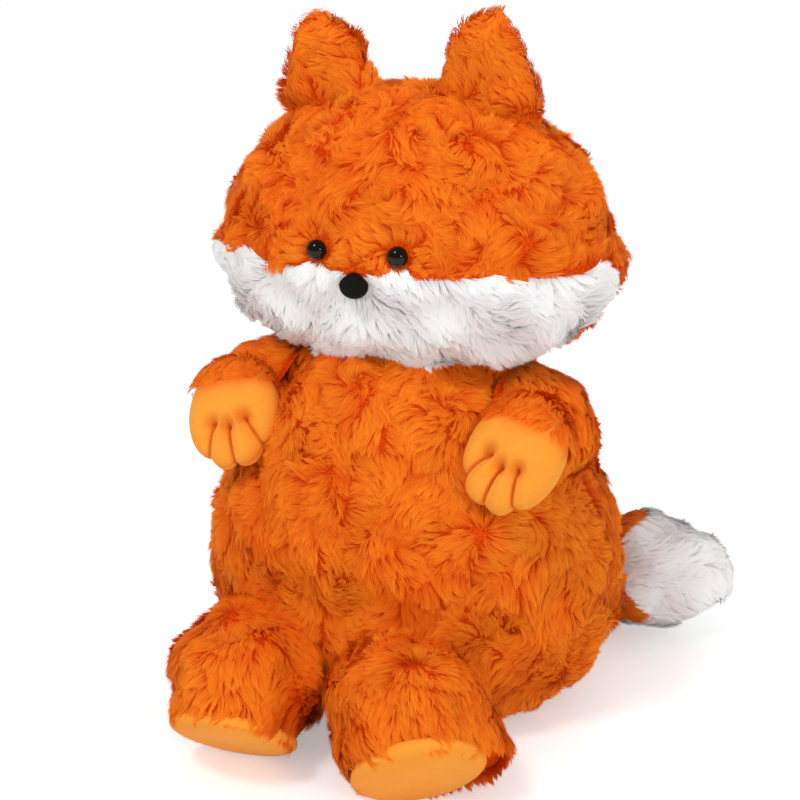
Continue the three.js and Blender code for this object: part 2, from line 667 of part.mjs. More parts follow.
for (const [name, side, hip, splay, pitch, haunch] of [
  ["left", 1, hips[0], LEG_SPLAY_LEFT, SOLE_PITCH_LEFT, HAUNCH_LEFT],
  ["right", -1, hips[1], LEG_SPLAY_RIGHT, SOLE_PITCH_RIGHT, HAUNCH_RIGHT],
]) {
  const direction = new THREE.Vector3(Math.sin(splay), -Math.cos(splay), 0);
  const facing = direction.clone().multiplyScalar(Math.cos(pitch));
  facing.addScaledVector(UP, -Math.sin(pitch));
  const footMiddle = direction.clone().multiplyScalar(LEG_REACH);
  const soleMiddle = footMiddle.clone().addScaledVector(facing, soleDepth);
  const sole = cut(solid(moved(soleDisc, standing(soleMiddle, facing))), floor);
  const behindSole = solid(halfSpace(soleMiddle.clone().addScaledVector(facing, -GAP), facing));
  const hipHole = hollow(0.5 * LEG_RADIUS, 2 * LEG_RADIUS, direction);
  const inside = legForm(PILE, footMiddle, haunch);
  const skin = cut(legForm(0, footMiddle, haunch), inside, behindSole, floor, hipHole);
  const core = cut(legForm(PILE + GAP, footMiddle, haunch), behindSole);
  const leg = new THREE.Group();
  leg.name = `leg_${name}`;
  leg.position.copy(hip);
  const put = (label, form, material) =>
    leg.add(node(label, solid(mirrored(geometryOf(form), side)), material));
  put(`leg_${name}_skin`, skin, FUR);
  put(`leg_stuffing_${name}`, core, FILLING);
  put(`sole_${name}`, sole, PALE);
  toy.add(leg);
}

// Tail: a round root in the body's back, a thick middle and a white tapered tip
const tailCurve = new THREE.QuadraticBezierCurve3(
  new THREE.Vector3(),
  new THREE.Vector3(Math.sin(TAIL_HEADING), Math.cos(TAIL_HEADING), 0).multiplyScalar(TAIL_BEND),
  TAIL_END,
);
const tailLength = tailCurve.getLength();
const tailPath = new THREE.Path();
tailPath.moveTo(0, -TAIL_ROOT_RADIUS);
tailPath.absarc(0, 0, TAIL_ROOT_RADIUS, -Math.PI / 2, TAIL_NECK);
tailPath.bezierCurveTo(
  TAIL_ROOT_RADIUS * Math.cos(TAIL_NECK), 0.2 * tailLength,
  TAIL_RADIUS, 0.22 * tailLength,
  TAIL_RADIUS, 0.45 * tailLength,
);
tailPath.bezierCurveTo(
  TAIL_RADIUS, 0.7 * tailLength,
  0.68 * TAIL_RADIUS, tailLength,
  0, tailLength,
);
const tailProfile = tailPath.getPoints(3);

// The tail's profile swept along its curve; the root ball runs on behind the curve's start.
function tailForm(depth) {
  const form = depth ? turned(lining(tailProfile, depth), INNER_FACETS) : turned(tailProfile, LIMB_FACETS);
  return warp(form, (p) => {
    const t = THREE.MathUtils.clamp(p.z / tailLength, 0, 1);
    const along = tailCurve.getTangentAt(t);
    const across = UP.clone().cross(along).normalize();
    const centre = tailCurve.getPointAt(t).addScaledVector(along, p.z - t * tailLength);
    const arched = p.y > 0 ? THREE.MathUtils.smoothstep(p.z, TAIL_ROOT_RADIUS, 0.5 * tailLength) : 0;
    const rise = p.y * THREE.MathUtils.lerp(1, TAIL_ARCH, arched);
    p.copy(centre.addScaledVector(across, p.x).addScaledVector(along.cross(across), rise));
  });
}

const rootDirection = tailCurve.getTangent(0);
const tipStart = tailCurve.getPointAt(1 - TAIL_TIP_SHARE);
const tipDirection = tailCurve.getTangentAt(1 - TAIL_TIP_SHARE);
const nearRoot = solid(
  halfSpace(
    tipStart.clone().addScaledVector(tipDirection, -GAP / 2),
    tipDirection.clone().negate(),
  ),
);
const nearTip = solid(
  halfSpace(tipStart.clone().addScaledVector(tipDirection, GAP / 2), tipDirection),
);
const rootHole = hollow(0.5 * TAIL_ROOT_RADIUS, 2 * TAIL_ROOT_RADIUS, rootDirection);
const closeSocket = solid(socket(TAIL_ROOT_RADIUS - GAP / 2, tailRoot)); // half its gap at the rim
const bodyRound = cut(solid(grown(bodyOuter, 0)), closeSocket);
const bodyByTail = [TAIL_IN - TAIL_SLACK, 0, TAIL_OUT + TAIL_SLACK].map((angle) => {
  const about = geometryOf(bodyRound);
  about.translate(-tailRoot.x, -tailRoot.y, -tailRoot.z);
  return solid(about.applyMatrix4(new THREE.Matrix4().makeRotationAxis(UP, -angle)));
});
const tailSkin = cut(solid(tailForm(0)), solid(tailForm(PILE)), rootHole, ...bodyByTail);
const tail = new THREE.Group();
tail.name = "tail";
tail.position.copy(tailRoot);
tail.add(node("tail_base", tailSkin.intersect(nearRoot), FUR));
tail.add(node("tail_tip", tailSkin.intersect(nearTip), WHITE_FUR));
tail.add(node("tail_stuffing", cut(solid(tailForm(PILE + GAP)), ...bodyByTail), FILLING));
toy.add(tail);

export default toy;
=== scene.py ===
"""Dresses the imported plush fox: padded forms, long fur, velour paws and soles, eyes and nose."""
import json
import math

import bpy
import numpy as np
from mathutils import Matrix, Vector


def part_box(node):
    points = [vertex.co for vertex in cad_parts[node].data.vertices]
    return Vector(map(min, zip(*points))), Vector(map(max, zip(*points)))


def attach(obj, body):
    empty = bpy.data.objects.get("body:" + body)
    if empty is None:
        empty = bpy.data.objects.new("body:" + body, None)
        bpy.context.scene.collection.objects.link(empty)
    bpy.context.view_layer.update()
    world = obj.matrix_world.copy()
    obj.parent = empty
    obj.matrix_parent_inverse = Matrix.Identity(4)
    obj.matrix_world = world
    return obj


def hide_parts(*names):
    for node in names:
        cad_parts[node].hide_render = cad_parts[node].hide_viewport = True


bl_info = {
    "name": "Plush Fox",
    "version": (1, 0, 0),
    "blender": (4, 5, 0),
    "location": "View3D > Sidebar > Plush Fox",
    "description": "Dresses the packed plush fox with padding, fur, velour and beads",
    "category": "Object",
}

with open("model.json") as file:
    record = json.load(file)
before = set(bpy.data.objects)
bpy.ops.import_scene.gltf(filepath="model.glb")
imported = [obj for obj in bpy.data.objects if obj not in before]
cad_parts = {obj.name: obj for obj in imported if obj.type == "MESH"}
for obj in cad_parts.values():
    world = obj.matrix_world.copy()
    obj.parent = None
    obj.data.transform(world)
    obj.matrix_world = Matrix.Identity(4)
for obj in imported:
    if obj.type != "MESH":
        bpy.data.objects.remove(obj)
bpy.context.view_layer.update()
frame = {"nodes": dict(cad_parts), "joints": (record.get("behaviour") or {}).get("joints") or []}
MM = 0.001
UP = np.array([0.0, 0.0, 1.0])
SIDES = (("left", 1.0), ("right", -1.0))
JOINT = {joint["name"]: np.array(joint["pos_m"], float) for joint in frame["joints"]}
BALL = JOINT["head_turn"]  # centre of the body's round top, which the head and the arms turn on
LUMP_WAVE = BALL[2] / 3  # of the filling's lumps, as in the solids
FLOOR_CLEAR = 0.3 * MM


def linear(code):
    """An sRGB hex colour as linear red, green, blue and alpha."""
    srgb = np.array([int(code[i : i + 2], 16) for i in (1, 3, 5)]) / 255
    value = np.where(srgb <= 0.04045, srgb / 12.92, ((srgb + 0.055) / 1.055) ** 2.4)
    return (*value.tolist(), 1.0)


def length(name, description, millimetres):
    """A size in millimetres as a length property."""
    return bpy.props.FloatProperty(
        name=name, description=description, default=millimetres * MM, unit="LENGTH", precision=4
    )


def angle(name, description, degrees):
    """An angle in degrees as an angle property."""
    return bpy.props.FloatProperty(
        name=name, description=description, default=math.radians(degrees), unit="ROTATION"
    )


def share(name, description, value):
    """A plain number as a property."""
    return bpy.props.FloatProperty(name=name, description=description, default=value)


def colour(name, description, code):
    """An sRGB hex colour as a colour property."""
    return bpy.props.FloatVectorProperty(
        name=name, description=description, default=linear(code), size=4, subtype="COLOR", min=0, max=1
    )


class FoxSizes(bpy.types.PropertyGroup):
    """Sizes of the padded forms, as in the solids that they stand for."""

    seat_radius: length("Seat radius", "Flat seat under the body", 74)
    belly_half_width: length("Belly half width", "Widest half width of the body", 138)
    belly_half_depth: length("Belly half depth", "Half depth of the body at the belly", 116)
    belly_height: length("Belly height", "Height of the widest place", 80)
    dome_radius: length("Shoulder ball", "Radius of the body's round top", 104)
    dome_edge: angle("Shoulder edge", "From the top down to where the shoulders begin", 64)
    head_half_width: length("Head half width", "Half width at the cheeks", 132)
    head_half_depth: length("Head half depth", "Half depth at the cheeks", 90)
    chin_height: length("Chin height", "Chin above the ball's centre", 70)
    cheek_height: length("Cheek height", "Cheeks above the ball's centre", 142)
    crown_height: length("Crown height", "Top of the head above the ball's centre", 242)
    nape_seam: length("Nape seam", "How far behind the middle the white face ends", -6)
    ear_half_width: length("Ear half width", "Half width at the root", 33)
    ear_half_thickness: length("Ear half thickness", "Half thickness at the root", 13)
    ear_length: length("Ear length", "From the root to the tip", 50)
    ear_lean: angle("Ear lean", "Outward lean of each ear", 4)
    ear_sway: share("Ear sway", "Lean of both ears to the fox's right, for each unit of height", 0.13)
    eye_radius: length("Eye radius", "Safety eye, 12 mm across", 6)
    eye_spacing: length("Eye spacing", "Between the eyes' middles", 50)
    eye_rise: length("Eye rise", "Eyes above the cheek seam", 13)
    nose_half_width: length("Nose half width", "Half width of the nose", 8.6)
    nose_half_height: length("Nose half height", "Half height of the nose", 7.5)
    nose_drop: length("Nose drop", "Nose below the cheek seam", 5)
    shoulder_depth: length("Shoulder depth", "Sleeve root inside the ball", 14)
    sleeve_radius: length("Sleeve radius", "Radius of the sleeve", 37)
    sleeve_length: length("Sleeve length", "From the shoulder to the cuff's end", 54)
    paw_half_width: length("Paw half width", "Half width of a paw", 29)
    paw_half_thickness: length("Paw half thickness", "Half thickness of a paw", 16)
    paw_half_length: length("Paw half length", "Half length of a paw", 36)
    leg_radius: length("Leg radius", "Radius of a leg", 45)
    leg_reach: length("Leg reach", "From the hip to the middle of the foot", 26)
    haunch_radius: length("Haunch radius", "Swelling on a leg's outer side", 28)
    leg_splay_left: angle("Left leg splay", "Outward turn of the fox's left leg", 34)
    leg_splay_right: angle("Right leg splay", "Outward turn of the fox's right leg", -9)
    sole_radius: length("Sole radius", "Radius of a sole pad", 38)
    sole_crown: length("Sole crown", "Rise of a sole pad", 9)
    sole_pitch_left: angle("Left sole pitch", "Sole's tilt below level", 34)
    sole_pitch_right: angle("Right sole pitch", "Sole's tilt below level", 45)
    tail_root_radius: length("Tail root", "Radius of the tail's root", 27)
    tail_radius: length("Tail radius", "Widest radius of the tail", 38)
    tail_heading: angle("Tail heading", "From straight back towards the fox's left", 64)
    tail_bend: length("Tail bend", "Reach of the curve's first part", 50)
    tail_reach: length("Tail reach", "Tip to the left of the root", 116)
    tail_back: length("Tail back", "Tip behind the root", 8)
    tail_rise: length("Tail rise", "Tip above the root", 12)
    tail_arch: share("Tail arch", "Height of the upper half over the lower", 1.2)
    tail_tip_start: share("White tip", "Share of the tail that is orange", 0.45)


class FurSettings(bpy.types.PropertyGroup):
    """How the pile is cut, combed and coloured."""

    depth: length("Pile depth", "Backing cloth below the fur's outside", 5.5)
    pile: length("Pile length", "Length of a strand", 12)
    width: length("Strand width", "Widest place of a drawn strand, coarser than real fibre", 0.55)
    density: share("Density", "Strands in a square metre", 2.2e6)
    tuft: length("Tuft", "Spacing of the tufts", 3.0)
    lock: length("Lock", "Spacing of the locks that the tufts make up", 13)
    gather: share("Gather", "How far strands lean to their tuft", 0.3)
    clump: share("Clump", "How far strands lean to their lock", 0.24)
    soft: share("Softness", "How far strands shade as the coat and not each by itself", 0.8)
    lean: angle("Lean", "Lie of the pile away from upright", 70)
    wander: share("Wander", "Strength of the swirls in the pile", 0.75)
    swirl: length("Swirl", "Size of a swirl in the pile", 48)
    lump: length("Lumps", "Height of the filling's lumps, from hollow to top", 6)
    # The roots' deeper colours are painted shade of the gaps between strands; dark and light are tones that
    # differ at random.
    orange_root_dark: colour("Orange root, dark", "Root of the darkest strands", "#D02A00")
    orange_root_light: colour("Orange root, light", "Root of the lightest strands", "#E84000")
    orange_tip_dark: colour("Orange tip, dark", "Tip of the darkest strands", "#F86802")
    orange_tip_light: colour("Orange tip, light", "Tip of the lightest strands", "#FAA428")
    white_root_dark: colour("White root, dark", "Root of the darkest strands", "#F8F6F4")
    white_root_light: colour("White root, light", "Root of the lightest strands", "#FBFAF9")
    white_tip_dark: colour("White tip, dark", "Tip of the darkest strands", "#FCFCFB")
    white_tip_light: colour("White tip, light", "Tip of the lightest strands", "#FFFFFF")
    velour: colour("Velour", "Paws and soles", "#FFAA3E")
    velour_shade: colour("Velour shade", "Darker fibres of the velour", "#F8942A")
    # Painted shade of the creases: the velour's colour along the stitched lines and their dimples.
    velour_seam: colour("Velour seam", "Velour drawn in along the stitched lines", "#D9600A")


class StageSettings(bpy.types.PropertyGroup):
    """Camera and light of the product picture."""

    azimuth: angle("Azimuth", "Camera to the fox's left of straight ahead", 23.2)
    elevation: angle("Elevation", "Camera above level", 18.3)
    distance: length("Distance", "Camera from the point it looks at", 800)
    target_x: length("Target X", "Point in the middle of the picture", -9.4)
    target_z: length("Target Z", "Point in the middle of the picture", 188.3)
    lens: share("Lens", "Focal length for a 36 mm wide picture", 55.85)
    world: share("World light", "Strength of the light from all round", 0.69)
    reflected: share("Reflected light", "Strength of the surroundings in the polished eyes", 0.25)
    key: share("Key light", "Watts of the lamp above and in front", 9.8)
    fill: share("Fill light", "Watts of the lamp on the other side", 5.4)
    glow: share("Paper glow", "Light that the camera sees added to the paper", 0.36)


class FoxSettings(bpy.types.PropertyGroup):
    """Everything that a user would change."""

    sizes: bpy.props.PointerProperty(type=FoxSizes)
    fur: bpy.props.PointerProperty(type=FurSettings)
    stage: bpy.props.PointerProperty(type=StageSettings)


# Arrays and surfaces


def unit(vectors):
    """Vectors scaled to length one."""
    return vectors / np.maximum(np.linalg.norm(vectors, axis=-1, keepdims=True), 1e-12)


def smoothstep(value, low, high):
    """Zero below low, one above high, and 3t^2 - 2t^3 between them."""
    t = np.clip((value - low) / (high - low), 0, 1)
    return t * t * (3 - 2 * t)


def bezier(corners, count):
    """Points on a Bezier curve of 3 or 4 corners, evenly spaced in its parameter."""
    t = np.linspace(0, 1, count)[:, None]
    points = [np.asarray(corner, float)[None] for corner in corners]
    while len(points) > 1:
        points = [a + (b - a) * t for a, b in zip(points, points[1:])]
    return points[0]


def arc(centre, radius, start, end, count):
    """Points on a circle of a profile from one angle to another."""
    turn = np.linspace(start, end, count)
    return np.stack([centre[0] + radius * np.cos(turn), centre[1] + radius * np.sin(turn)], 1)


def revolve(profile, columns=96):
    """A profile of (radius, height) rows carried round Z: x = r cos a, y = r sin a, z = h."""
    turn = np.linspace(0, 2 * np.pi, columns, endpoint=False)
    radius, height = profile[:, :1], profile[:, 1:]
    ring = [radius * np.cos(turn), radius * np.sin(turn), np.repeat(height, columns, 1)]
    return np.stack(ring, -1)


def outward(grid):
    """A closed grid's outward directions: the cross product of its steps round and along."""
    around = np.roll(grid, -1, 1) - np.roll(grid, 1, 1)
    normal = unit(np.cross(around, np.gradient(grid, axis=0)))
    normal[0] = unit(normal[1].mean(0))
    normal[-1] = unit(normal[-2].mean(0))
    return normal


def inset(grid, depth):
    """The surface that lies a depth inside a grid."""
    return grid - depth * outward(grid)


def lumps(points):
    """How far the filling's lumps lift points, between -1 and 1: crossed waves along the three axes."""
    x, y, z = np.moveaxis(2 * np.pi * points / LUMP_WAVE, -1, 0)
    return (np.sin(x) * np.cos(y) + np.sin(y) * np.cos(z) + np.sin(z) * np.cos(x))[..., None] / 1.5


def stuffed(grid, fur, share=1.0):
    """The backing cloth of a form: a share of the pile's depth inside it, with the filling's lumps."""
    return inset(grid, share * fur.depth) + 0.5 * share * fur.lump * lumps(grid) * outward(grid)


def turned(grid, direction, across=(1, 0.001, 0)):
    """A grid stood along a direction, its X kept as near as can be to a side direction."""
    direction = unit(np.asarray(direction, float))
    normal = unit(np.cross(direction, np.asarray(across, float)))
    return grid @ np.stack([np.cross(normal, direction), normal, direction])


def mirrored(grid, side):
    """A grid of the left side, or its mirror image for the right with its columns turned back."""
    return grid if side > 0 else (grid * (-1, 1, 1))[:, ::-1]


def out_of_ball(grid, centre, radius, along=None):
    """Moves points inside a ball to its surface, straight out or along a direction."""
    away = grid - centre
    if along is None:
        reach = np.linalg.norm(away, axis=-1, keepdims=True)
        return np.where(reach < radius, centre + unit(away) * radius, grid)
    along = np.asarray(along, float)
    run = (away @ along)[..., None]
    flat = away - run * along
    room = radius**2 - (flat**2).sum(-1, keepdims=True)
    wall = np.sqrt(np.maximum(room, 0))
    return np.where((room > 0) & (run < wall), centre + flat + wall * along, grid)


def swirl(points, wavelength, seed):
    """Smooth vector noise: eight sine waves in random directions, near one wavelength long."""
    rng = np.random.default_rng(seed)
    waves = unit(rng.normal(size=(8, 3))) * (2 * np.pi / wavelength)
    waves *= rng.uniform(0.6, 1.5, (8, 1))
    phase = rng.uniform(0, 2 * np.pi, (8, 3))
    return np.sin((points @ waves.T)[..., None] + phase).sum(-2) / 2


def nearest(points, seeds):
    """The index of the seed nearest to each point, found in blocks of whole arrays."""
    middle = seeds.mean(0)
    points, seeds = (points - middle).astype(np.float32), (seeds - middle).astype(np.float32)
    square = (seeds**2).sum(1)
    blocks = [points[i : i + 512] for i in range(0, max(len(points), 1), 512)]
    return np.concatenate([(square - 2 * block @ seeds.T).argmin(1) for block in blocks])


def buried(points, grid, margin):
    """Which points lie at least a margin inside a rounded form."""
    coarse = grid[::2, ::3].reshape(-1, 3)
    normal = outward(grid)[::2, ::3].reshape(-1, 3)
    near = nearest(points, coarse)
    return ((points - coarse[near]) * normal[near]).sum(1) < -margin


def clear_of(root, chosen, covers, margin):
    """Drops the chosen points that lie at least a margin inside one of the covering forms."""
    for cover in covers:
        index = np.flatnonzero(chosen)
        chosen[index] = ~buried(root[index], cover, margin)
    return chosen


def scatter(grid, density, rng):
    """Points spread evenly over a grid: cells picked by area, then a bilinear place in each."""
    normal = outward(grid)
    following = np.roll(grid, -1, 1)
    area = np.cross(following[1:] - grid[:-1], grid[1:] - following[:-1])
    area = np.linalg.norm(area, axis=-1).ravel() / 2
    count = int(area.sum() * density)
    cell = rng.choice(area.size, count, p=area / area.sum())
    s, t = rng.random((2, count, 1))

    def between(values):
        after = np.roll(values, -1, 1)
        a, b, c, d = (v.reshape(-1, 3)[cell] for v in (values[:-1], after[:-1], after[1:], values[1:]))
        return (a * (1 - s) + b * s) * (1 - t) + (d * (1 - s) + c * s) * t

    return between(grid), unit(between(normal))


# The fox's forms, each a grid whose first and last rows are its poles


def body_form(sizes):
    """A pear: flat seat, two Bezier flanks and a ball-shaped top, flattened front to back."""
    low, ball = sizes.belly_height, sizes.dome_radius
    edge = np.array([ball * math.sin(sizes.dome_edge), BALL[2] + ball * math.cos(sizes.dome_edge)])
    slope = 0.4 * (edge[1] - low) * np.array([math.cos(sizes.dome_edge), -math.sin(sizes.dome_edge)])
    wide, seat = sizes.belly_half_width, sizes.seat_radius
    profile = np.concatenate([
        bezier([(0, 0), (seat, 0)], 8)[:-1],
        bezier([(seat, 0), (seat + 0.62 * (wide - seat), 0), (wide, 0.45 * low), (wide, low)], 16)[:-1],
        bezier([(wide, low), (wide, low + 0.5 * (edge[1] - low)), edge + slope, edge], 18)[:-1],
        arc((0, BALL[2]), ball, math.pi / 2 - sizes.dome_edge, math.pi / 2, 14),
    ])
    grid = revolve(profile)
    flat = sizes.belly_half_depth / wide
    grid[..., 1] *= flat + (1 - flat) * smoothstep(grid[..., 2], low, edge[1])
    return grid


def head_profile(sizes):
    """The head's outline: full cheeks low down and a high rounded crown."""
    chin, cheek, crown = (BALL[2] + h for h in (sizes.chin_height, sizes.cheek_height, sizes.crown_height))
    wide = sizes.head_half_width
    lower = [(0, chin), (0.62 * wide, chin), (0.94 * wide, chin + 0.4 * (cheek - chin)), (wide, cheek)]
    upper = [(wide, cheek), (0.92 * wide, cheek + 0.33 * (crown - cheek)), (0.74 * wide, crown), (0, crown)]
    return np.concatenate([bezier(lower, 24)[:-1], bezier(upper, 32)])


def head_form(sizes):
    """The head's outline turned about Z and flattened front to back."""
    return revolve(head_profile(sizes)) * (1, sizes.head_half_depth / sizes.head_half_width, 1)


def face_point(sizes, x, z):
    """The place and outward direction on the head's front at an x and a height."""
    profile = head_profile(sizes)
    flat = sizes.head_half_depth / sizes.head_half_width
    step = 0.5 * MM
    radius, below, above = np.interp([z, z - step, z + step], profile[:, 1], profile[:, 0])
    y = -flat * math.sqrt(radius**2 - x**2)
    slope = (above - below) / (2 * step)
    return np.array([x, y, z]), unit(np.array([x, y / flat**2, -radius * slope]))


def ear_form(sizes, side):
    """An upright leaf: a turned outline, thin front to back, leaning outwards."""
    wide, thick, tall = sizes.ear_half_width, sizes.ear_half_thickness, sizes.ear_length
    root = [(0, -thick), (0.7 * wide, -thick), (wide, -0.5 * thick), (wide, 0)]
    blade = [(wide, 0), (0.95 * wide, 0.45 * tall), (0.4 * wide, tall), (0, tall)]
    grid = revolve(np.concatenate([bezier(root, 10)[:-1], bezier(blade, 22)]), 48)
    grid = turned(grid * (1, thick / wide, 1), (math.sin(sizes.ear_lean), 0, math.cos(sizes.ear_lean)))
    grid[..., 0] -= side * sizes.ear_sway * np.maximum(grid[..., 2], 0)
    return mirrored(grid + JOINT["ear_left_fold"], side)


SHOULDER = unit(np.array([0.82, -0.12, 0.56]))  # from the ball's centre
ARM_DIRECTION = unit(np.array([0.72, -0.62, -0.3]))
PAW_DIRECTION = unit(np.array([-0.25, -0.6, -0.76]))
PAW_ACROSS = np.array([1, -0.1, 0])
PAW_OFFSET = np.array([5, -48, -2]) * MM  # of a paw's middle from the cuff's
# Stitched toe lines of the left paw, each from a pinch to its edge, as shares of half width and length
TOE_LINES = np.array([
    [(0.36, 0.26), (0.48, 0.74)],
    [(0.0, 0.32), (-0.08, 0.8)],
    [(-0.37, 0.18), (-0.66, 0.54)],
])
VALLEY_WIDTH, CREASE_WIDTH, DIMPLE_WIDTH = 5.0 * MM, 0.95 * MM, 4.5 * MM  # beside and at a line's thread


def sleeve_form(sizes, side):
    """A plump sleeve turned about the arm's direction."""
    wide, long = sizes.sleeve_radius, sizes.sleeve_length
    root = [(0, -0.5 * wide), (0.7 * wide, -0.5 * wide), (0.9 * wide, -0.2 * wide), (0.94 * wide, 0.2 * long)]
    cuff = [(0.94 * wide, 0.2 * long), (wide, 0.5 * long), (1.08 * wide, long), (0, long)]
    grid = revolve(np.concatenate([bezier(root, 12)[:-1], bezier(cuff, 20)]), 64)
    shoulder = BALL + SHOULDER * (sizes.dome_radius - sizes.shoulder_depth)
    return mirrored(turned(grid, ARM_DIRECTION) + shoulder, side)


def paw_place(sizes):
    """The left paw's middle."""
    shoulder = BALL + SHOULDER * (sizes.dome_radius - sizes.shoulder_depth)
    return shoulder + ARM_DIRECTION * (sizes.sleeve_length - sizes.sleeve_radius) + PAW_OFFSET


def paw_form(sizes, side):
    """A flat mitten, and how near each of its points is to a stitched line, from zero to one, which darkens
    the velour there as painted shade of the crease.

    It is an ellipsoid with a seam round its edge. Its depth at a point falls off with the distance to
    the nearest stitched line: a wide soft valley between the toes, a narrow crease at the thread and
    a dimple where the thread ends.
    """
    rise = np.linspace(-np.pi / 2, np.pi / 2, 65)[:, None]
    bearing = np.linspace(0, 2 * np.pi, 240, endpoint=False)[None]
    x = np.cos(rise) * np.sin(bearing)
    z = np.cos(rise) * np.cos(bearing)
    y = np.sign(np.sin(rise)) * np.abs(np.sin(rise)) ** 0.8 + 0 * bearing
    point = np.stack([x * sizes.paw_half_width, z * sizes.paw_half_length], -1)[..., None, :]
    lines = TOE_LINES * (sizes.paw_half_width, sizes.paw_half_length)
    run = (lines[:, 1] - lines[:, 0]) * 1.5
    along = np.maximum(((point - lines[:, 0]) * run).sum(-1) / (run**2).sum(-1), 0)
    gap = np.linalg.norm(point - lines[:, 0] - along[..., None] * run, axis=-1)
    valley = np.exp(-((gap / VALLEY_WIDTH) ** 2)).max(-1)
    crease = np.exp(-((gap / CREASE_WIDTH) ** 2)).max(-1)
    dimple = np.exp(-((np.linalg.norm(point - lines[:, 0], axis=-1) / DIMPLE_WIDTH) ** 2)).max(-1)
    seam = np.exp(-((np.sin(rise) / 0.06) ** 2))
    thick = 1 - 0.3 * valley - 0.22 * crease - 0.26 * dimple
    reach = 1 - 0.075 * valley - 0.06 * crease - 0.03 * seam
    grid = np.stack([
        sizes.paw_half_width * x * reach,
        sizes.paw_half_thickness * y * thick,
        sizes.paw_half_length * z * reach,
    ], -1)
    # How far the velour darkens here as painted shade of the crease and the dimple.
    stitch = np.maximum(crease, 0.6 * dimple) + 0 * x
    grid = mirrored(turned(grid, PAW_DIRECTION, PAW_ACROSS) + paw_place(sizes), side)
    return grid, stitch if side > 0 else stitch[:, ::-1]


HAUNCH_LEFT = np.array([44, -14, -10]) * MM  # middle of the left leg's swelling, from its hip
HAUNCH_RIGHT = np.array([-25, -10, 0]) * MM


def foot(sizes, side):
    """A leg's hip, its direction, its sole's middle and the way that the sole faces."""
    hip = JOINT["leg_left_lift" if side > 0 else "leg_right_lift"]
    splay = sizes.leg_splay_left if side > 0 else -sizes.leg_splay_right
    pitch = sizes.sole_pitch_left if side > 0 else sizes.sole_pitch_right
    ahead = np.array([math.sin(splay), -math.cos(splay), 0])
    facing = ahead * math.cos(pitch) - UP * math.sin(pitch)
    depth = math.sqrt(sizes.leg_radius**2 - sizes.sole_radius**2)
    return hip, ahead, hip + ahead * sizes.leg_reach + facing * depth, facing


def leg_form(sizes, side):
    """A smooth hull of three balls: the hip, the foot and the haunch.

    In each direction the surface is the farthest ball's. Near a tie it blends the balls by the
    exponential of how far each one reaches.
    """
    hip, ahead, sole, facing = foot(sizes, side)
    centres = np.stack([0 * ahead, ahead * sizes.leg_reach, HAUNCH_LEFT if side > 0 else HAUNCH_RIGHT])
    radii = np.array([sizes.leg_radius, sizes.leg_radius, sizes.haunch_radius])
    toward = turned(revolve(arc((0, 0), 1, -math.pi / 2, math.pi / 2, 61), 96), ahead)
    extent = toward @ centres.T + radii
    weight = np.exp((extent - extent.max(-1, keepdims=True)) / (2 * MM))
    weight /= weight.sum(-1, keepdims=True)
    return weight @ centres + (weight @ radii)[..., None] * toward + hip


def behind_sole(grid, sizes, side, depth):
    """Flattens what lies beyond a plane a depth behind the sole's edge."""
    hip, ahead, sole, facing = foot(sizes, side)
    beyond = (grid - sole) @ facing + depth
    return grid - np.maximum(beyond, 0)[..., None] * facing


def sole_form(sizes, side):
    """A round pad with a crowned face: a disc whose top follows a Bezier curve."""
    wide, rise = sizes.sole_radius, sizes.sole_crown
    back = bezier([(0, -0.25 * rise), (wide * 0.96, -0.25 * rise)], 8)[:-1]
    edge = bezier([(wide * 0.96, -0.25 * rise), (wide * 1.02, 0), (wide, 0.3 * rise)], 8)[:-1]
    crown = bezier([(wide, 0.3 * rise), (0.92 * wide, 0.85 * rise), (0.6 * wide, rise), (0, rise)], 24)
    hip, ahead, sole, facing = foot(sizes, side)
    grid = turned(revolve(np.concatenate([back, edge, crown]), 96), facing) + sole
    grid[..., 2] = np.maximum(grid[..., 2], FLOOR_CLEAR)
    return grid


TAIL_NECK = math.radians(35)  # how far the root ball runs on past its middle


def tail_curve(sizes, along):
    """Points and directions on the tail's Bezier curve, from its root to its tip."""
    heading = np.array([math.sin(sizes.tail_heading), math.cos(sizes.tail_heading), 0])
    end = np.array([sizes.tail_reach, sizes.tail_back, sizes.tail_rise])
    bend = heading * sizes.tail_bend
    t = np.clip(along, 0, 1)[..., None]
    tangent = unit(2 * (1 - t) * bend + 2 * t * (end - bend))
    return JOINT["tail_wag"] + 2 * t * (1 - t) * bend + t * t * end, tangent


def tail_length(sizes):
    """Length of the tail's curve, summed over short steps."""
    point, tangent = tail_curve(sizes, np.linspace(0, 1, 200))
    return np.linalg.norm(np.diff(point, axis=0), axis=1).sum()


def tail_form(sizes):
    """A plump outline swept along the tail's curve, with a round root behind its start."""
    root, wide, long = sizes.tail_root_radius, sizes.tail_radius, tail_length(sizes)
    start = (root * math.cos(TAIL_NECK), root * math.sin(TAIL_NECK))
    profile = np.concatenate([
        arc((0, 0), root, -math.pi / 2, TAIL_NECK, 14)[:-1],
        bezier([start, (start[0], 0.2 * long), (wide, 0.22 * long), (wide, 0.45 * long)], 16)[:-1],
        bezier([(wide, 0.45 * long), (wide, 0.7 * long), (0.68 * wide, long), (0, long)], 20),
    ])
    grid = revolve(profile, 64)
    along = grid[..., 2] / long
    centre, tangent = tail_curve(sizes, along)
    centre = centre + tangent * (grid[..., 2:] - np.clip(along, 0, 1)[..., None] * long)
    across = unit(np.cross(UP, tangent))
    arched = smoothstep(grid[..., 2:], root, 0.5 * long) * (grid[..., 1:2] > 0)
    rise = grid[..., 1:2] * (1 + (sizes.tail_arch - 1) * arched)
    return centre + across * grid[..., :1] + np.cross(tangent, across) * rise


# Meshes


def put(name, mesh, material, body, slot, *nodes):
    """Makes a piece of a mesh with its material, on the body it rides on, and hides the nodes that it stands
    for.
    """
    mesh.materials.append(material)
    piece = bpy.data.objects.new(name, mesh)
    bpy.context.scene.collection.objects.link(piece)
    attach(piece, body)
    if nodes:
        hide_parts(*nodes)
    return piece


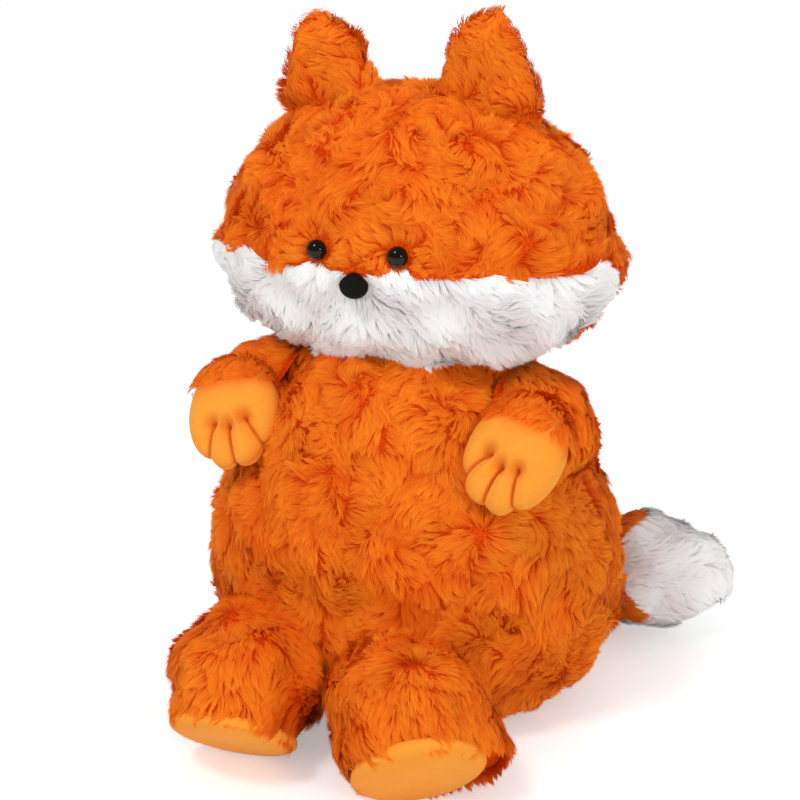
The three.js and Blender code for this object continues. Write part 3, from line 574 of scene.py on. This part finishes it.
def shell(name, grid):
    """A closed mesh of a grid: quads between its rings and a fan of triangles at each pole."""
    rows, columns = grid.shape[:2]
    points = np.concatenate([grid[:1, 0], grid[1:-1].reshape(-1, 3), grid[-1:, 0]])
    ring = np.arange(columns)
    after = np.roll(ring, -1)
    start = 1 + columns * np.arange(rows - 3)[:, None]
    quads = np.stack([start + ring, start + after, start + columns + after, start + columns + ring], -1)
    last = 1 + columns * (rows - 3)
    foot_fan = np.stack([0 * ring, 1 + after, 1 + ring], -1)
    top_fan = np.stack([last + ring, last + after, 0 * ring + len(points) - 1], -1)
    mesh = bpy.data.meshes.new(name)
    faces = quads.reshape(-1, 4).tolist() + foot_fan.tolist() + top_fan.tolist()
    mesh.from_pydata(points.tolist(), [], faces)
    mesh.shade_smooth()
    return mesh


def padding(name, grid, material, body, slot, *nodes, fill=0.8):
    """A stuffed form that shows only where fur or velour leaves it bare."""
    piece = put(name, shell(name, grid), material, body, slot, *nodes)
    return piece


def strands(name, root, mid, tip, side, width, tone, shade):
    """A mesh of bent blades: a triangle widens from root to middle and another narrows to the tip.

    Its UV map holds a strand's tone across and its run from root to tip along. Its normals are
    those of the coat rather than of each ribbon, since fine fibres scatter light all round.
    """
    count = len(root)
    half = side * width[:, None] / 2
    points = np.stack([root, mid - half, mid + half, tip], 1)
    points[..., 2] = np.maximum(points[..., 2], FLOOR_CLEAR)
    corner = np.array([0, 2, 1, 1, 2, 3])
    mesh = bpy.data.meshes.new(name)
    mesh.vertices.add(4 * count)
    mesh.vertices.foreach_set("co", points.astype(np.float32).ravel())
    mesh.loops.add(6 * count)
    loops = (4 * np.arange(count)[:, None] + corner).astype(np.int32)
    mesh.loops.foreach_set("vertex_index", loops.ravel())
    mesh.polygons.add(2 * count)
    mesh.polygons.foreach_set("loop_start", 3 * np.arange(2 * count, dtype=np.int32))
    across = np.array([0, 1, -1, -1, 1, 0]) * 0.04
    along = np.array([0.01, 0.5, 0.5, 0.5, 0.5, 0.99])
    u = 0.05 + 0.9 * np.clip(tone, 0, 1)[:, None] + across
    uv = np.stack([u, np.broadcast_to(along, u.shape)], -1)
    mesh.uv_layers.new(name="OFBake").data.foreach_set("uv", uv.astype(np.float32).ravel())
    normals = mesh.attributes.new("custom_normal", "FLOAT_VECTOR", "POINT")
    normals.data.foreach_set("vector", np.repeat(shade, 4, 0).astype(np.float32).ravel())
    mesh.update(calc_edges=True)
    mesh.shade_smooth()
    return mesh


LOCK_TURN, TUFT_TURN = 0.36, 0.22  # how far each lock and each tuft turns its own way
STEADY_FLOW = 0.45  # strands stand up where the flow is weaker than this


def comb(fur, skin, lay, seed, keep, pile=1.0, wander=1.0, lean=0.0, partings=(), dense=1.0, broad=1.0):
    """Strands of fur on a skin, as root, middle, tip, side, width, tone and shading normal arrays.

    Roots are spread over the skin and lie along lay plus smooth swirls. They make up locks, which
    turn and rise each its own way, and within them tufts: each strand's tip leans towards the tips
    of its lock and its tuft. Partings are round bare places that the pile is combed from.
    """
    rng = np.random.default_rng(seed)
    root, normal = scatter(skin, fur.density * dense, rng)
    chosen = keep(root)
    for centre, clear in partings:
        chosen &= np.linalg.norm(root - centre, axis=1) > clear
    root, normal = root[chosen], normal[chosen]
    count = len(root)

    def pick(spacing):
        return rng.choice(count, max(8, int(count / (fur.density * dense * spacing**2))), replace=False)

    def flat(vectors):
        return unit(vectors - normal * (vectors * normal).sum(1, keepdims=True))

    flow = lay(root) + wander * fur.wander * swirl(root, fur.swirl, seed)
    short = np.ones(count)
    for centre, clear in partings:
        away = root - centre
        near = np.exp(-((np.linalg.norm(away, axis=1) / (2.2 * clear)) ** 2))
        flow = flow + 4 * near[:, None] * unit(away)
        short = short - 0.5 * near
    locks = pick(fur.lock)
    lock = nearest(root, root[locks])
    flow = flow - normal * (flow * normal).sum(1, keepdims=True)
    weak = 1 - smoothstep(np.linalg.norm(flow, axis=1), 0, STEADY_FLOW)
    flow = flat(unit(flow) + wander * LOCK_TURN * rng.normal(size=(len(locks), 3))[lock])
    tufts = pick(fur.tuft)
    tuft = nearest(root, root[tufts])
    flow = flat(flow + TUFT_TURN * rng.normal(size=(len(tufts), 3))[tuft])
    tuft_tone = rng.random(len(tufts))[tuft]
    size = short * pile * fur.pile * (0.8 + 0.36 * rng.random(count)) * (0.88 + 0.24 * tuft_tone)
    lie = fur.lean + lean + 0.09 * rng.normal(size=count) + 0.1 * rng.normal(size=len(locks))[lock]
    lie = lie * (1 - 0.45 * weak) - (1 - short) * 0.3

    def reach(part, bend):
        rise = np.cos(lie - bend)[:, None] * normal + np.sin(lie - bend)[:, None] * flow
        return root + (part * size)[:, None] * rise

    def towards(target, share, most):
        pull = share * (target - tip)
        return pull * np.minimum(1, most / np.maximum(np.linalg.norm(pull, axis=1, keepdims=True), 1e-9))

    tip = reach(1, 0)
    pull = towards(tip[locks][lock], fur.clump, 0.35 * fur.lock)
    pull = pull + towards(tip[tufts][tuft], fur.gather, fur.tuft)
    tip = tip + pull
    mid = reach(0.5, 0.32) + 0.3 * pull
    side = unit(np.cross(tip - root, normal + 0.18 * rng.normal(size=(count, 3))))
    # rim is a strand's distance from its lock's middle; the tone below falls with it as painted shade in the
    # crevices between locks.
    rim = np.linalg.norm(root - root[locks][lock], axis=1) / fur.lock
    drift = swirl(root, 2.2 * fur.swirl, seed + 2)[:, 0]
    tone = 0.66 + 0.2 * (tuft_tone - 0.5) + 0.26 * (rng.random(count) - 0.5) - 0.26 * rim**2 + 0.08 * drift
    width = broad * fur.width * (0.7 + 0.6 * rng.random(count))
    shade = unit(fur.soft * normal + (1 - fur.soft) * unit(np.cross(side, tip - root)))
    return root, mid, tip, side, width, tone, shade


# Materials


def add(tree, kind, inputs=None, **settings):
    """Adds one shader node: its attributes, then its sockets' values or what feeds them."""
    node = tree.nodes.new("ShaderNode" + kind)
    for name, value in settings.items():
        setattr(node, name, value)
    for name, value in (inputs or {}).items():
        if isinstance(value, bpy.types.NodeSocket):
            tree.links.new(value, node.inputs[name])
        else:
            node.inputs[name].default_value = value
    return node


def new_material(name):
    """An empty material and its node tree."""
    material = bpy.data.materials.new(name)
    material.use_nodes = True
    material.node_tree.nodes.clear()
    return material, material.node_tree


def finished(tree, shader):
    """Feeds a shader to the tree's output."""
    add(tree, "OutputMaterial", {"Surface": shader.outputs[0]})


def fur_material(name, root_dark, root_light, tip_dark, tip_light, glow):
    """Long-pile polyester plush: each strand is a few fibres, pale at the tip and deeper at the root, the
    deeper root being painted shade of the gaps between strands, which cast no shadow.
    """
    material, tree = new_material(name)
    place = add(tree, "UVMap", uv_map="OFBake").outputs[0]
    run = add(tree, "SeparateXYZ", {0: place})
    lines = add(tree, "VectorMath", {0: place, 1: (45, 0.7, 0)}, operation="MULTIPLY")
    fine = {"Vector": lines.outputs[0], "Scale": 1.0, "Detail": 1.0}
    fibre = add(tree, "TexNoise", fine, noise_dimensions="2D")
    spread = add(tree, "MapRange", {0: fibre.outputs[0], 1: 0.25, 2: 0.75, 3: -0.25, 4: 0.25})
    tone = add(tree, "Math", {0: run.outputs[0], 1: spread.outputs[0]}, operation="ADD").outputs[0]
    root = add(tree, "Mix", {0: tone, 6: root_dark, 7: root_light}, data_type="RGBA")
    tip = add(tree, "Mix", {0: tone, 6: tip_dark, 7: tip_light}, data_type="RGBA")
    # Root to tip: the deeper root colour is painted shade of the gaps between strands; dark to light is tone
    # that differs at random.
    mixed = add(tree, "Mix", {0: run.outputs[1], 6: root.outputs[2], 7: tip.outputs[2]}, data_type="RGBA")
    finished(tree, add(tree, "BsdfPrincipled", {
        "Base Color": mixed.outputs[2],
        "Roughness": 0.8,
        "Specular IOR Level": 0.12,
        "Sheen Weight": 0.3,
        "Sheen Roughness": 0.45,
        "Sheen Tint": glow,
    }))
    return material


def mottled(name, size, dark, light, surface, detail=2.0, grain=0.5, spread=(0.0, 1.0), bump=None):
    """A material mottled between two colours by noise of a size, which may also roughen it.

    Surface holds the shader's other values, and bump a strength and a height.
    """
    material, tree = new_material(name)
    place = add(tree, "TexCoord").outputs["Object"]
    noise = add(tree, "TexNoise", {"Vector": place, "Scale": 1 / size, "Detail": detail, "Roughness": grain})
    level = add(tree, "MapRange", {0: noise.outputs[0], 1: spread[0], 2: spread[1]})
    mixed = add(tree, "Mix", {0: level.outputs[0], 6: dark, 7: light}, data_type="RGBA")
    shader = add(tree, "BsdfPrincipled", {"Base Color": mixed.outputs[2], **surface})
    if bump:
        uneven = add(tree, "Bump", {"Height": noise.outputs[0], "Strength": bump[0], "Distance": bump[1]})
        tree.links.new(uneven.outputs[0], shader.inputs["Normal"])
    finished(tree, shader)
    return material


def cloth_material(name, dark, light):
    """Under-pile on its knitted backing: short fibres about 1 mm apart, mottled and dull."""
    dull = {"Roughness": 0.95, "Specular IOR Level": 0.1}
    short = {"detail": 3.0, "grain": 0.65, "spread": (0.35, 0.65), "bump": (0.7, 1.2 * MM)}
    return mottled(name, 1.6 * MM, dark, light, dull, **short)


def velour_material(name, shade, light, seam):
    """Short-pile velour: fine upright fibres that speckle the colour, and painted shade that deepens it along
    the stitched lines and their dimples.
    """
    material, tree = new_material(name)
    place = add(tree, "TexCoord").outputs["Object"]
    speck = add(tree, "TexNoise", {"Vector": place, "Scale": 1 / (1.1 * MM), "Detail": 3.0, "Roughness": 0.7})
    nap = add(tree, "TexNoise", {"Vector": place, "Scale": 1 / (22 * MM), "Detail": 2.0})
    spread = add(tree, "MapRange", {0: speck.outputs[0], 1: 0.3, 2: 0.7, 3: 0.0, 4: 0.75})
    drift = add(tree, "MapRange", {0: nap.outputs[0], 1: 0.35, 2: 0.65, 3: 0.0, 4: 0.25})
    both = add(tree, "Math", {0: spread.outputs[0], 1: drift.outputs[0]}, operation="ADD")
    nap_colour = add(tree, "Mix", {0: both.outputs[0], 6: shade, 7: light}, data_type="RGBA")
    # Painted shade: the velour darkens to the seam colour along the stitched lines and their dimples, where
    # the creases are shaded.
    stitch = add(tree, "Attribute", attribute_name="stitch").outputs["Fac"]
    crease_darkening = add(tree, "Math", {0: stitch, 1: 0.8}, operation="MULTIPLY")
    mixed = add(tree, "Mix", {0: crease_darkening.outputs[0], 6: nap_colour.outputs[2], 7: seam}, data_type="RGBA")
    bump = add(tree, "Bump", {"Height": speck.outputs[0], "Strength": 0.25, "Distance": 0.5 * MM})
    finished(tree, add(tree, "BsdfPrincipled", {
        "Base Color": mixed.outputs[2],
        "Normal": bump.outputs[0],
        "Roughness": 0.85,
        "Specular IOR Level": 0.2,
        "Sheen Weight": 0.35,
        "Sheen Roughness": 0.4,
        "Sheen Tint": linear("#FFC98A"),
    }))
    return material


def eye_material():
    """Moulded acrylic safety eye: polished, black, with a faint brown depth and a clear skin."""
    polished = {"Roughness": 0.06, "IOR": 1.49, "Specular IOR Level": 0.3}
    return mottled("Polished black acrylic", 4 * MM, linear("#050404"), linear("#120C0A"), polished)


def flock_material():
    """Flocked nose: short black nylon fibres stood on end, matt with grey tips."""
    dark, light = linear("#040404"), linear("#171514")
    matt = {"Roughness": 0.9, "Specular IOR Level": 0.2}
    return mottled("Black nylon flock", 0.8 * MM, dark, light, matt, detail=3.0, bump=(0.6, 0.4 * MM))


def washer_material():
    """Moulded polyethylene lock washer: milky white, faintly clouded."""
    dark, light = linear("#DEDBD3"), linear("#F0EEE8")
    return mottled("Moulded milky polyethylene", 3 * MM, dark, light, {"Roughness": 0.45})


def made_once(name, make, *colours):
    """The material of a name, made the first time that it is asked for."""
    if name not in bpy.data.materials:
        make(name, *colours)
    return bpy.data.materials[name]


def dyed(kind, *places):
    """The fur's colours of a kind, orange or white, at places such as root_dark."""
    fur = bpy.context.scene.plush_fox.fur
    return [tuple(getattr(fur, f"{kind}_{place}")) for place in places]


def plush(kind):
    """The fur material of a colour, orange or white."""
    glow = linear("#FF9020" if kind == "orange" else "#FFFFFF")
    colours = dyed(kind, "root_dark", "root_light", "tip_dark", "tip_light")
    return made_once(f"Long-pile plush, {kind}", fur_material, *colours, glow)


def backing(kind):
    """The backing cloth of a colour, orange or white."""
    # Mottled between the dark root colour, which holds the strands' painted shade, and the dark tip colour.
    return made_once(f"Knitted backing, {kind}", cloth_material, *dyed(kind, "root_dark", "tip_dark"))


def velour():
    """The velour of the paws and soles."""
    fur = bpy.context.scene.plush_fox.fur
    colours = (tuple(tone) for tone in (fur.velour_shade, fur.velour, fur.velour_seam))
    return made_once("Short-pile velour", velour_material, *colours)


def coat(name, kind, body, nodes, skin, lay, seed, keep, **combing):
    """A piece of fur that covers part of a skin and stands for the nodes of that panel.

    Fibres pass light on rather than block it, so the padding under them throws the shadows.
    """
    fur = bpy.context.scene.plush_fox.fur
    parts = comb(fur, skin, lay, seed, keep, **combing)
    piece = put(name, strands(name, *parts), plush(kind), body, f"{kind}_plush", *nodes)
    piece.visible_shadow = False
    return piece


def steady(direction):
    """A lay that is the same everywhere."""
    return lambda root: np.broadcast_to(np.asarray(direction, float), root.shape)


# Operators


class FOX_OT_body(bpy.types.Operator):
    """Stuffed body with its front, back and seat panels"""

    bl_idname = "fox.body"
    bl_label = "Body"

    def execute(self, context):
        settings = context.scene.plush_fox
        sizes, fur = settings.sizes, settings.fur
        outside = body_form(sizes)
        cloth = stuffed(outside, fur)
        skin = cloth
        for side in (1, -1):
            hip = foot(sizes, side)[0]
            skin = out_of_ball(skin, hip, sizes.leg_radius - fur.depth + MM, (0, 1, 0))
        skin = out_of_ball(skin, JOINT["tail_wag"], sizes.tail_root_radius, (0, -1, 0))
        padding("body_padding", skin, backing("orange"), "body", "filling", "body_stuffing")
        covers = [head_form(sizes), tail_form(sizes)]
        for name, side in SIDES:
            covers += [sleeve_form(sizes, side), leg_form(sizes, side)]

        def lay(root):
            parting = np.exp(-((root[:, 0] / (8 * MM)) ** 2)) * np.sign(root[:, 0]) * (root[:, 1] < 0)
            parting = parting * smoothstep(root[:, 2], 120 * MM, 170 * MM)
            return np.stack([0.3 * parting, 0 * parting, 0 * parting - 0.75], 1)

        def shown(front, side):
            def keep(root):
                chosen = ((root[:, 1] < 0) == front) & ((root[:, 0] > 0) == (side > 0))
                chosen &= root[:, 2] > fur.depth + 1 * MM
                return clear_of(root, chosen, covers, 9 * MM)

            return keep

        for name, side in SIDES:
            front, back = f"body_front_{name}_fur", f"body_back_{name}_fur"
            nodes = [f"body_front_{name}_panel"]
            coat(front, "orange", "body", nodes, cloth, lay, 11, shown(True, side), wander=0.8)
            coat(back, "orange", "body", ["body_back_panel"], cloth, lay, 15, shown(False, side))
        flat = inset(outside, 0.6 * fur.depth)
        coat(
            "seat_fur", "orange", "body", ["seat_panel"], flat, steady((0, 1, 0)), 19,
            lambda root: root[:, 2] < 0.6 * fur.depth + MM, pile=0.6, lean=math.radians(27), dense=0.6,
        )
        return {"FINISHED"}


class FOX_OT_head(bpy.types.Operator):
    """Stuffed head with its orange crown and nape and its white face"""

    bl_idname = "fox.head"
    bl_label = "Head"

    def execute(self, context):
        settings = context.scene.plush_fox
        sizes, fur = settings.sizes, settings.fur
        outside = head_form(sizes)
        skin = out_of_ball(stuffed(outside, fur), BALL, sizes.dome_radius + 0.5 * MM)
        piece = padding("head_padding", skin, backing("orange"), "head", "filling", "head_stuffing")
        low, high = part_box("neck_stuffing")
        plug = np.array([
            (0, low.z), (0.92, low.z), (1, low.z + 3 * MM),
            (1, high.z - 9 * MM), (0.6, high.z - 3 * MM), (0, high.z - MM),
        ])
        plug[:, 0] *= (high.x - low.x) / 2
        padding("neck_padding", revolve(plug, 48), backing("orange"), "neck", "filling", "neck_stuffing")
        cheek = BALL[2] + sizes.cheek_height
        covers = [body_form(sizes)] + [ear_form(sizes, side) for name, side in SIDES]
        places = [(side * sizes.eye_spacing / 2, cheek + sizes.eye_rise, 7 * MM) for name, side in SIDES]
        places.append((0, cheek - sizes.nose_drop, 8.5 * MM))
        beads = []
        for x, z, clear in places:
            place, facing = face_point(sizes, x, z)
            beads.append((place - facing * fur.depth, clear))

        def seam(root):
            beside = np.abs(root[:, 0]) - sizes.eye_spacing / 2
            return cheek + 8 * MM * np.exp(-((beside / (5 * MM)) ** 2)) - 1 * MM

        def open_to_air(root, chosen):
            wide = np.hypot(root[:, 0], root[:, 1] * sizes.head_half_width / sizes.head_half_depth)
            chosen &= (wide > 0.5 * sizes.head_half_width) | (root[:, 2] > cheek)
            return clear_of(root, chosen, covers, 12 * MM)

        def crown(side):
            def keep(root):
                beside = (root[:, 0] > 0) == (side > 0)
                return open_to_air(root, beside & (root[:, 2] > seam(root) + 4 * MM))

            return keep

        def in_front(root):
            return root[:, 1] < sizes.nape_seam

        def from_nose(root):
            out = root - np.array([0, -sizes.head_half_depth, cheek])
            return unit(out * (1, 0.6, 1)) * 0.7 + np.array([0, 0, -0.35])

        piece.data.materials.append(backing("white"))
        middle = np.zeros(3 * len(piece.data.polygons), np.float32)
        piece.data.polygons.foreach_get("center", middle)
        middle = middle.reshape(-1, 3)
        pale = (middle[:, 2] < seam(middle)) & in_front(middle)
        piece.data.polygons.foreach_set("material_index", pale.astype(np.int32))
        for name, side in SIDES:
            coat(
                f"crown_{name}_fur", "orange", "head", ["head_crown"], skin, steady((0, 0.2, -0.45)), 31,
                crown(side), wander=1.25, partings=beads,
            )
        coat(
            "face_fur", "white", "head", ["face_panel"], skin, from_nose, 35,
            lambda root: open_to_air(root, (root[:, 2] <= seam(root) + 3 * MM) & in_front(root)),
            wander=0.55, partings=beads, dense=1.3, broad=1.3,
        )
        coat(
            "nape_fur", "orange", "head", ["head_nape"], skin, steady((0, 0.2, -0.8)), 37,
            lambda root: open_to_air(root, (root[:, 2] <= seam(root)) & ~in_front(root)),
        )
        return {"FINISHED"}


class FOX_OT_ears(bpy.types.Operator):
    """Two upright furry ears"""

    bl_idname = "fox.ears"
    bl_label = "Ears"

    def execute(self, context):
        settings = context.scene.plush_fox
        sizes, fur = settings.sizes, settings.fur
        head = head_form(sizes)
        for step, (name, side) in enumerate(SIDES):
            outside = ear_form(sizes, side)
            body = f"ear_{name}"
            skin = stuffed(outside, fur, 0.55)
            padding(
                f"ear_{name}_padding", skin, backing("orange"), body, "orange_plush",
                f"ear_{name}_skin", fill=0.4,
            )
            coat(
                f"ear_{name}_fur", "orange", body, [f"ear_{name}_skin"], skin, steady((0, 0, 0.9)), 41 + step,
                lambda root: ~buried(root, head, 10 * MM), pile=0.85, wander=0.8,
            )
        return {"FINISHED"}


class FOX_OT_beads(bpy.types.Operator):
    """Safety eyes, flocked nose and their lock washers"""

    bl_idname = "fox.beads"
    bl_label = "Eyes and nose"

    def execute(self, context):
        sizes = context.scene.plush_fox.sizes
        cheek = BALL[2] + sizes.cheek_height
        acrylic, flock, washer = eye_material(), flock_material(), washer_material()
        rim = 3.5 * MM
        for name, side in SIDES:
            place, facing = face_point(sizes, side * sizes.eye_spacing / 2, cheek + sizes.eye_rise)
            wide = sizes.eye_radius
            dome = arc((0, 0), wide, 0, math.pi / 2, 20) * (1, 0.95)
            back = bezier([(0, -rim), (wide * 0.9, -rim), (wide, -0.4 * rim), (wide, 0)], 10)
            grid = turned(revolve(np.concatenate([back[:-1], dome]), 64), facing) + place - facing * 2.2 * MM
            mesh = shell(f"eye_{name}_dome", grid)
            put(f"eye_{name}_dome", mesh, acrylic, "head", "eye_black", f"eye_{name}")
        place, facing = face_point(sizes, 0, cheek - sizes.nose_drop)
        wide = sizes.nose_half_width
        dome = arc((0, 0), wide, 0, math.pi / 2, 24) * (1, 0.8)
        back = bezier([(0, -rim), (wide * 0.85, -rim), (wide, -0.5 * rim), (wide, 0)], 10)
        grid = revolve(np.concatenate([back[:-1], dome]), 72)
        point = 1 - 0.28 * smoothstep(grid[..., 1:2] / wide, 0.1, 1.0)
        grid = grid * np.concatenate([point, 0 * point + sizes.nose_half_height / wide, 0 * point + 1], -1)
        grid = turned(grid, (0, -1, 0)) + place + np.array([0, 2.2 * MM, 0])
        put("nose_flocked", shell("nose_flocked", grid), flock, "head", "nose_flock", "nose")
        for node in ("eye_washer_left", "eye_washer_right", "nose_washer"):
            frame["nodes"][node].data.materials.clear()
            frame["nodes"][node].data.materials.append(washer)
        return {"FINISHED"}


class FOX_OT_arms(bpy.types.Operator):
    """Furry sleeves and velour mitten paws"""

    bl_idname = "fox.arms"
    bl_label = "Arms and paws"

    def execute(self, context):
        settings = context.scene.plush_fox
        sizes, fur = settings.sizes, settings.fur
        body, head = body_form(sizes), head_form(sizes)
        for step, (name, side) in enumerate(SIDES):
            part = f"arm_{name}"
            outside = sleeve_form(sizes, side)
            cloth = stuffed(outside, fur, 0.8)
            skin = out_of_ball(cloth, BALL, sizes.dome_radius + 0.5 * MM)
            padding(f"arm_{name}_padding", skin, backing("orange"), part, "filling", f"arm_stuffing_{name}")
            paw, stitch = paw_form(sizes, side)
            piece = padding(
                f"paw_{name}_velour", paw, velour(), part, "pale_velour",
                f"paw_{name}", f"paw_stuffing_{name}", fill=0.9,
            )
            # The painted crease shade of each point, read by the velour's material.
            values = np.concatenate([stitch[:1, 0], stitch[1:-1].ravel(), stitch[-1:, 0]]).astype(np.float32)
            piece.data.attributes.new("stitch", "FLOAT", "POINT").data.foreach_set("value", values)
            along = ARM_DIRECTION * (side, 1, 1) + np.array([0, 0, -0.7])

            def keep(root):
                chosen = np.linalg.norm(root - BALL, axis=1) > sizes.dome_radius + 1 * MM
                return clear_of(root, clear_of(root, chosen, [body, head], 6 * MM), [paw], 5 * MM)

            coat(
                f"sleeve_{name}_fur", "orange", part, [f"sleeve_{name}"], cloth, steady(along), 51 + step,
                keep, wander=0.6,
            )
            ahead = PAW_DIRECTION * (side, 1, 1)
            middle = paw_place(sizes) * (side, 1, 1)

            def wrist(root):
                far = (root - middle) @ ahead < -0.5 * sizes.paw_half_length
                return clear_of(root, far, [body, head], 6 * MM)

            coat(
                f"cuff_{name}_fur", "orange", part, [f"sleeve_{name}"], paw, steady(1.5 * ahead), 55 + step,
                wrist, wander=0.5, dense=1.3,
            )
        return {"FINISHED"}


class FOX_OT_legs(bpy.types.Operator):
    """Furry legs and velour sole pads"""

    bl_idname = "fox.legs"
    bl_label = "Legs and soles"

    def execute(self, context):
        settings = context.scene.plush_fox
        sizes, fur = settings.sizes, settings.fur
        body = body_form(sizes)
        for step, (name, side) in enumerate(SIDES):
            part = f"leg_{name}"
            hip, ahead, sole, facing = foot(sizes, side)
            cloth = stuffed(leg_form(sizes, side), fur)
            skin = behind_sole(cloth, sizes, side, 3 * MM)
            padding(f"leg_{name}_padding", skin, backing("orange"), part, "filling", f"leg_stuffing_{name}")
            padding(
                f"sole_{name}_velour", sole_form(sizes, side), velour(), part, "pale_velour",
                f"sole_{name}", fill=0.7,
            )

            def keep(root):
                chosen = ((root - sole) @ facing < -2 * MM) & (root[:, 2] > 4 * MM)
                return clear_of(root, chosen, [body], 8 * MM)

            whorl = hip + ahead * (sizes.leg_reach + 8 * MM) + 0.8 * sizes.leg_radius * UP

            def lay(root):
                away = root - whorl
                near = np.exp(-((np.linalg.norm(away, axis=1) / sizes.leg_radius) ** 2))[:, None]
                return 0.6 * ahead + 0.35 * facing + 1.2 * near * unit(away)

            coat(
                f"leg_{name}_fur", "orange", part, [f"leg_{name}_skin"], cloth, lay,
                61 + step, keep, wander=0.7,
            )
        return {"FINISHED"}


class FOX_OT_tail(bpy.types.Operator):
    """Bushy tail with a white tip"""

    bl_idname = "fox.tail"
    bl_label = "Tail"

    def execute(self, context):
        settings = context.scene.plush_fox
        sizes, fur = settings.sizes, settings.fur
        body = body_form(sizes)
        cloth = stuffed(tail_form(sizes), fur)
        padding("tail_padding", cloth, backing("white"), "tail", "filling", "tail_stuffing")
        samples = np.linspace(0, 1, 120)
        centre, tangent = tail_curve(sizes, samples)

        def place(root):
            return nearest(root, centre)

        def white(root):
            at = place(root)
            off = root - centre[at]
            rise = np.degrees(np.arctan2(off[:, 2], -(off * np.cross(UP, tangent[at])).sum(1)))
            teeth = np.abs(((rise + 25) / 120 % 1) * 2 - 1) - 0.5
            return samples[at] > sizes.tail_tip_start + 0.2 * teeth

        def along(root):
            return tangent[place(root)] * 1.1

        def free(root):
            return ~buried(root, body, 6 * MM)

        coat(
            "tail_base_fur", "orange", "tail", ["tail_base"], cloth, along, 71,
            lambda root: ~white(root) & free(root), wander=0.6,
        )
        coat(
            "tail_tip_fur", "white", "tail", ["tail_tip"], cloth, along, 73,
            lambda root: white(root) & free(root), wander=0.5, pile=1.1, dense=1.3, broad=1.3,
        )
        return {"FINISHED"}


class FOX_OT_stage(bpy.types.Operator):
    """Pale floor, soft studio light and the picture's camera"""

    bl_idname = "fox.stage"
    bl_label = "Stage"

    def execute(self, context):
        stage = context.scene.plush_fox.stage
        scene = context.scene
        scene.view_settings.view_transform = "Standard"
        target = Vector((stage.target_x, 0, stage.target_z))
        level = math.cos(stage.elevation)
        across, ahead = math.sin(stage.azimuth), -math.cos(stage.azimuth)
        back = Vector((across * level, ahead * level, math.sin(stage.elevation)))
        camera = bpy.data.cameras.new("camera")
        camera.lens, camera.sensor_width = stage.lens, 36
        camera.clip_start, camera.clip_end = 0.05, 1000
        eye = bpy.data.objects.new("camera", camera)
        eye.location = target + back * stage.distance
        eye.rotation_euler = (-back).to_track_quat("-Z", "Y").to_euler()
        scene.collection.objects.link(eye)
        scene.camera = eye
        lamps = (
            ("key", stage.key, Vector((-0.4, -1.0, 1.75)), 0.35),
            ("fill", stage.fill, Vector((1.5, -0.9, 0.8)), 0.3),
        )
        for name, watts, place, size in lamps:
            lamp = bpy.data.lights.new(name, "AREA")
            lamp.energy, lamp.size = watts, size
            holder = bpy.data.objects.new(name, lamp)
            holder.location = place
            holder.rotation_euler = (target - place).to_track_quat("-Z", "Y").to_euler()
            scene.collection.objects.link(holder)
        world = bpy.data.worlds.new("studio")
        world.use_nodes = True
        tree = world.node_tree
        tree.nodes.clear()
        ray = add(tree, "LightPath")
        seen = add(tree, "Mix", {0: ray.outputs["Is Camera Ray"], 2: stage.world, 3: 1.0})
        strength = add(tree, "Mix", {0: ray.outputs["Is Glossy Ray"], 2: seen.outputs[0], 3: stage.reflected})
        light = add(tree, "Background", {"Color": (1, 1, 1, 1), "Strength": strength.outputs[0]})
        add(tree, "OutputWorld", {"Surface": light.outputs[0]})
        scene.world = world
        paper, tree = new_material("Matt white paper")
        place = add(tree, "TexCoord").outputs["Object"]
        grain = add(tree, "TexNoise", {"Vector": place, "Scale": 1 / (2 * MM)})
        pulp, face = linear("#F4F4F4"), linear("#F8F8F8")
        tint = add(tree, "Mix", {0: grain.outputs[0], 6: pulp, 7: face}, data_type="RGBA")
        matt = add(tree, "BsdfDiffuse", {"Color": tint.outputs[2]})
        ray = add(tree, "LightPath")
        rays = {0: ray.outputs["Is Camera Ray"], 1: ray.outputs["Is Glossy Ray"]}
        seen = add(tree, "Math", rays, operation="MAXIMUM")
        glow = add(tree, "Math", {0: seen.outputs[0], 1: stage.glow}, operation="MULTIPLY")
        lit = add(tree, "Emission", {"Strength": glow.outputs[0]})
        finished(tree, add(tree, "AddShader", {0: matt.outputs[0], 1: lit.outputs[0]}))
        floor = revolve(np.array([(0, -MM), (400, -MM), (400, 0), (0, 0)]), 96)
        mesh = shell("floor", floor)
        mesh.materials.append(paper)
        piece = bpy.data.objects.new("floor", mesh)
        scene.collection.objects.link(piece)
        return {"FINISHED"}


class FOX_PT_panel(bpy.types.Panel):
    """Lists the fox's pieces in the sidebar"""

    bl_idname = "FOX_PT_panel"
    bl_label = "Plush Fox"
    bl_space_type = "VIEW_3D"
    bl_region_type = "UI"
    bl_category = "Plush Fox"

    def draw(self, context):
        for operator in OPERATORS:
            self.layout.operator(operator.bl_idname)


OPERATORS = (
    FOX_OT_stage, FOX_OT_body, FOX_OT_head, FOX_OT_ears,
    FOX_OT_beads, FOX_OT_arms, FOX_OT_legs, FOX_OT_tail,
)
CLASSES = (FoxSizes, FurSettings, StageSettings, FoxSettings, *OPERATORS, FOX_PT_panel)


def register():
    for item in CLASSES:
        bpy.utils.register_class(item)
    bpy.types.Scene.plush_fox = bpy.props.PointerProperty(type=FoxSettings)


def unregister():
    del bpy.types.Scene.plush_fox
    for item in reversed(CLASSES):
        bpy.utils.unregister_class(item)


def main():
    register()
    for operator in OPERATORS:
        group, name = operator.bl_idname.split(".")
        getattr(getattr(bpy.ops, group), name)()


if __name__ == "__main__":
    main()
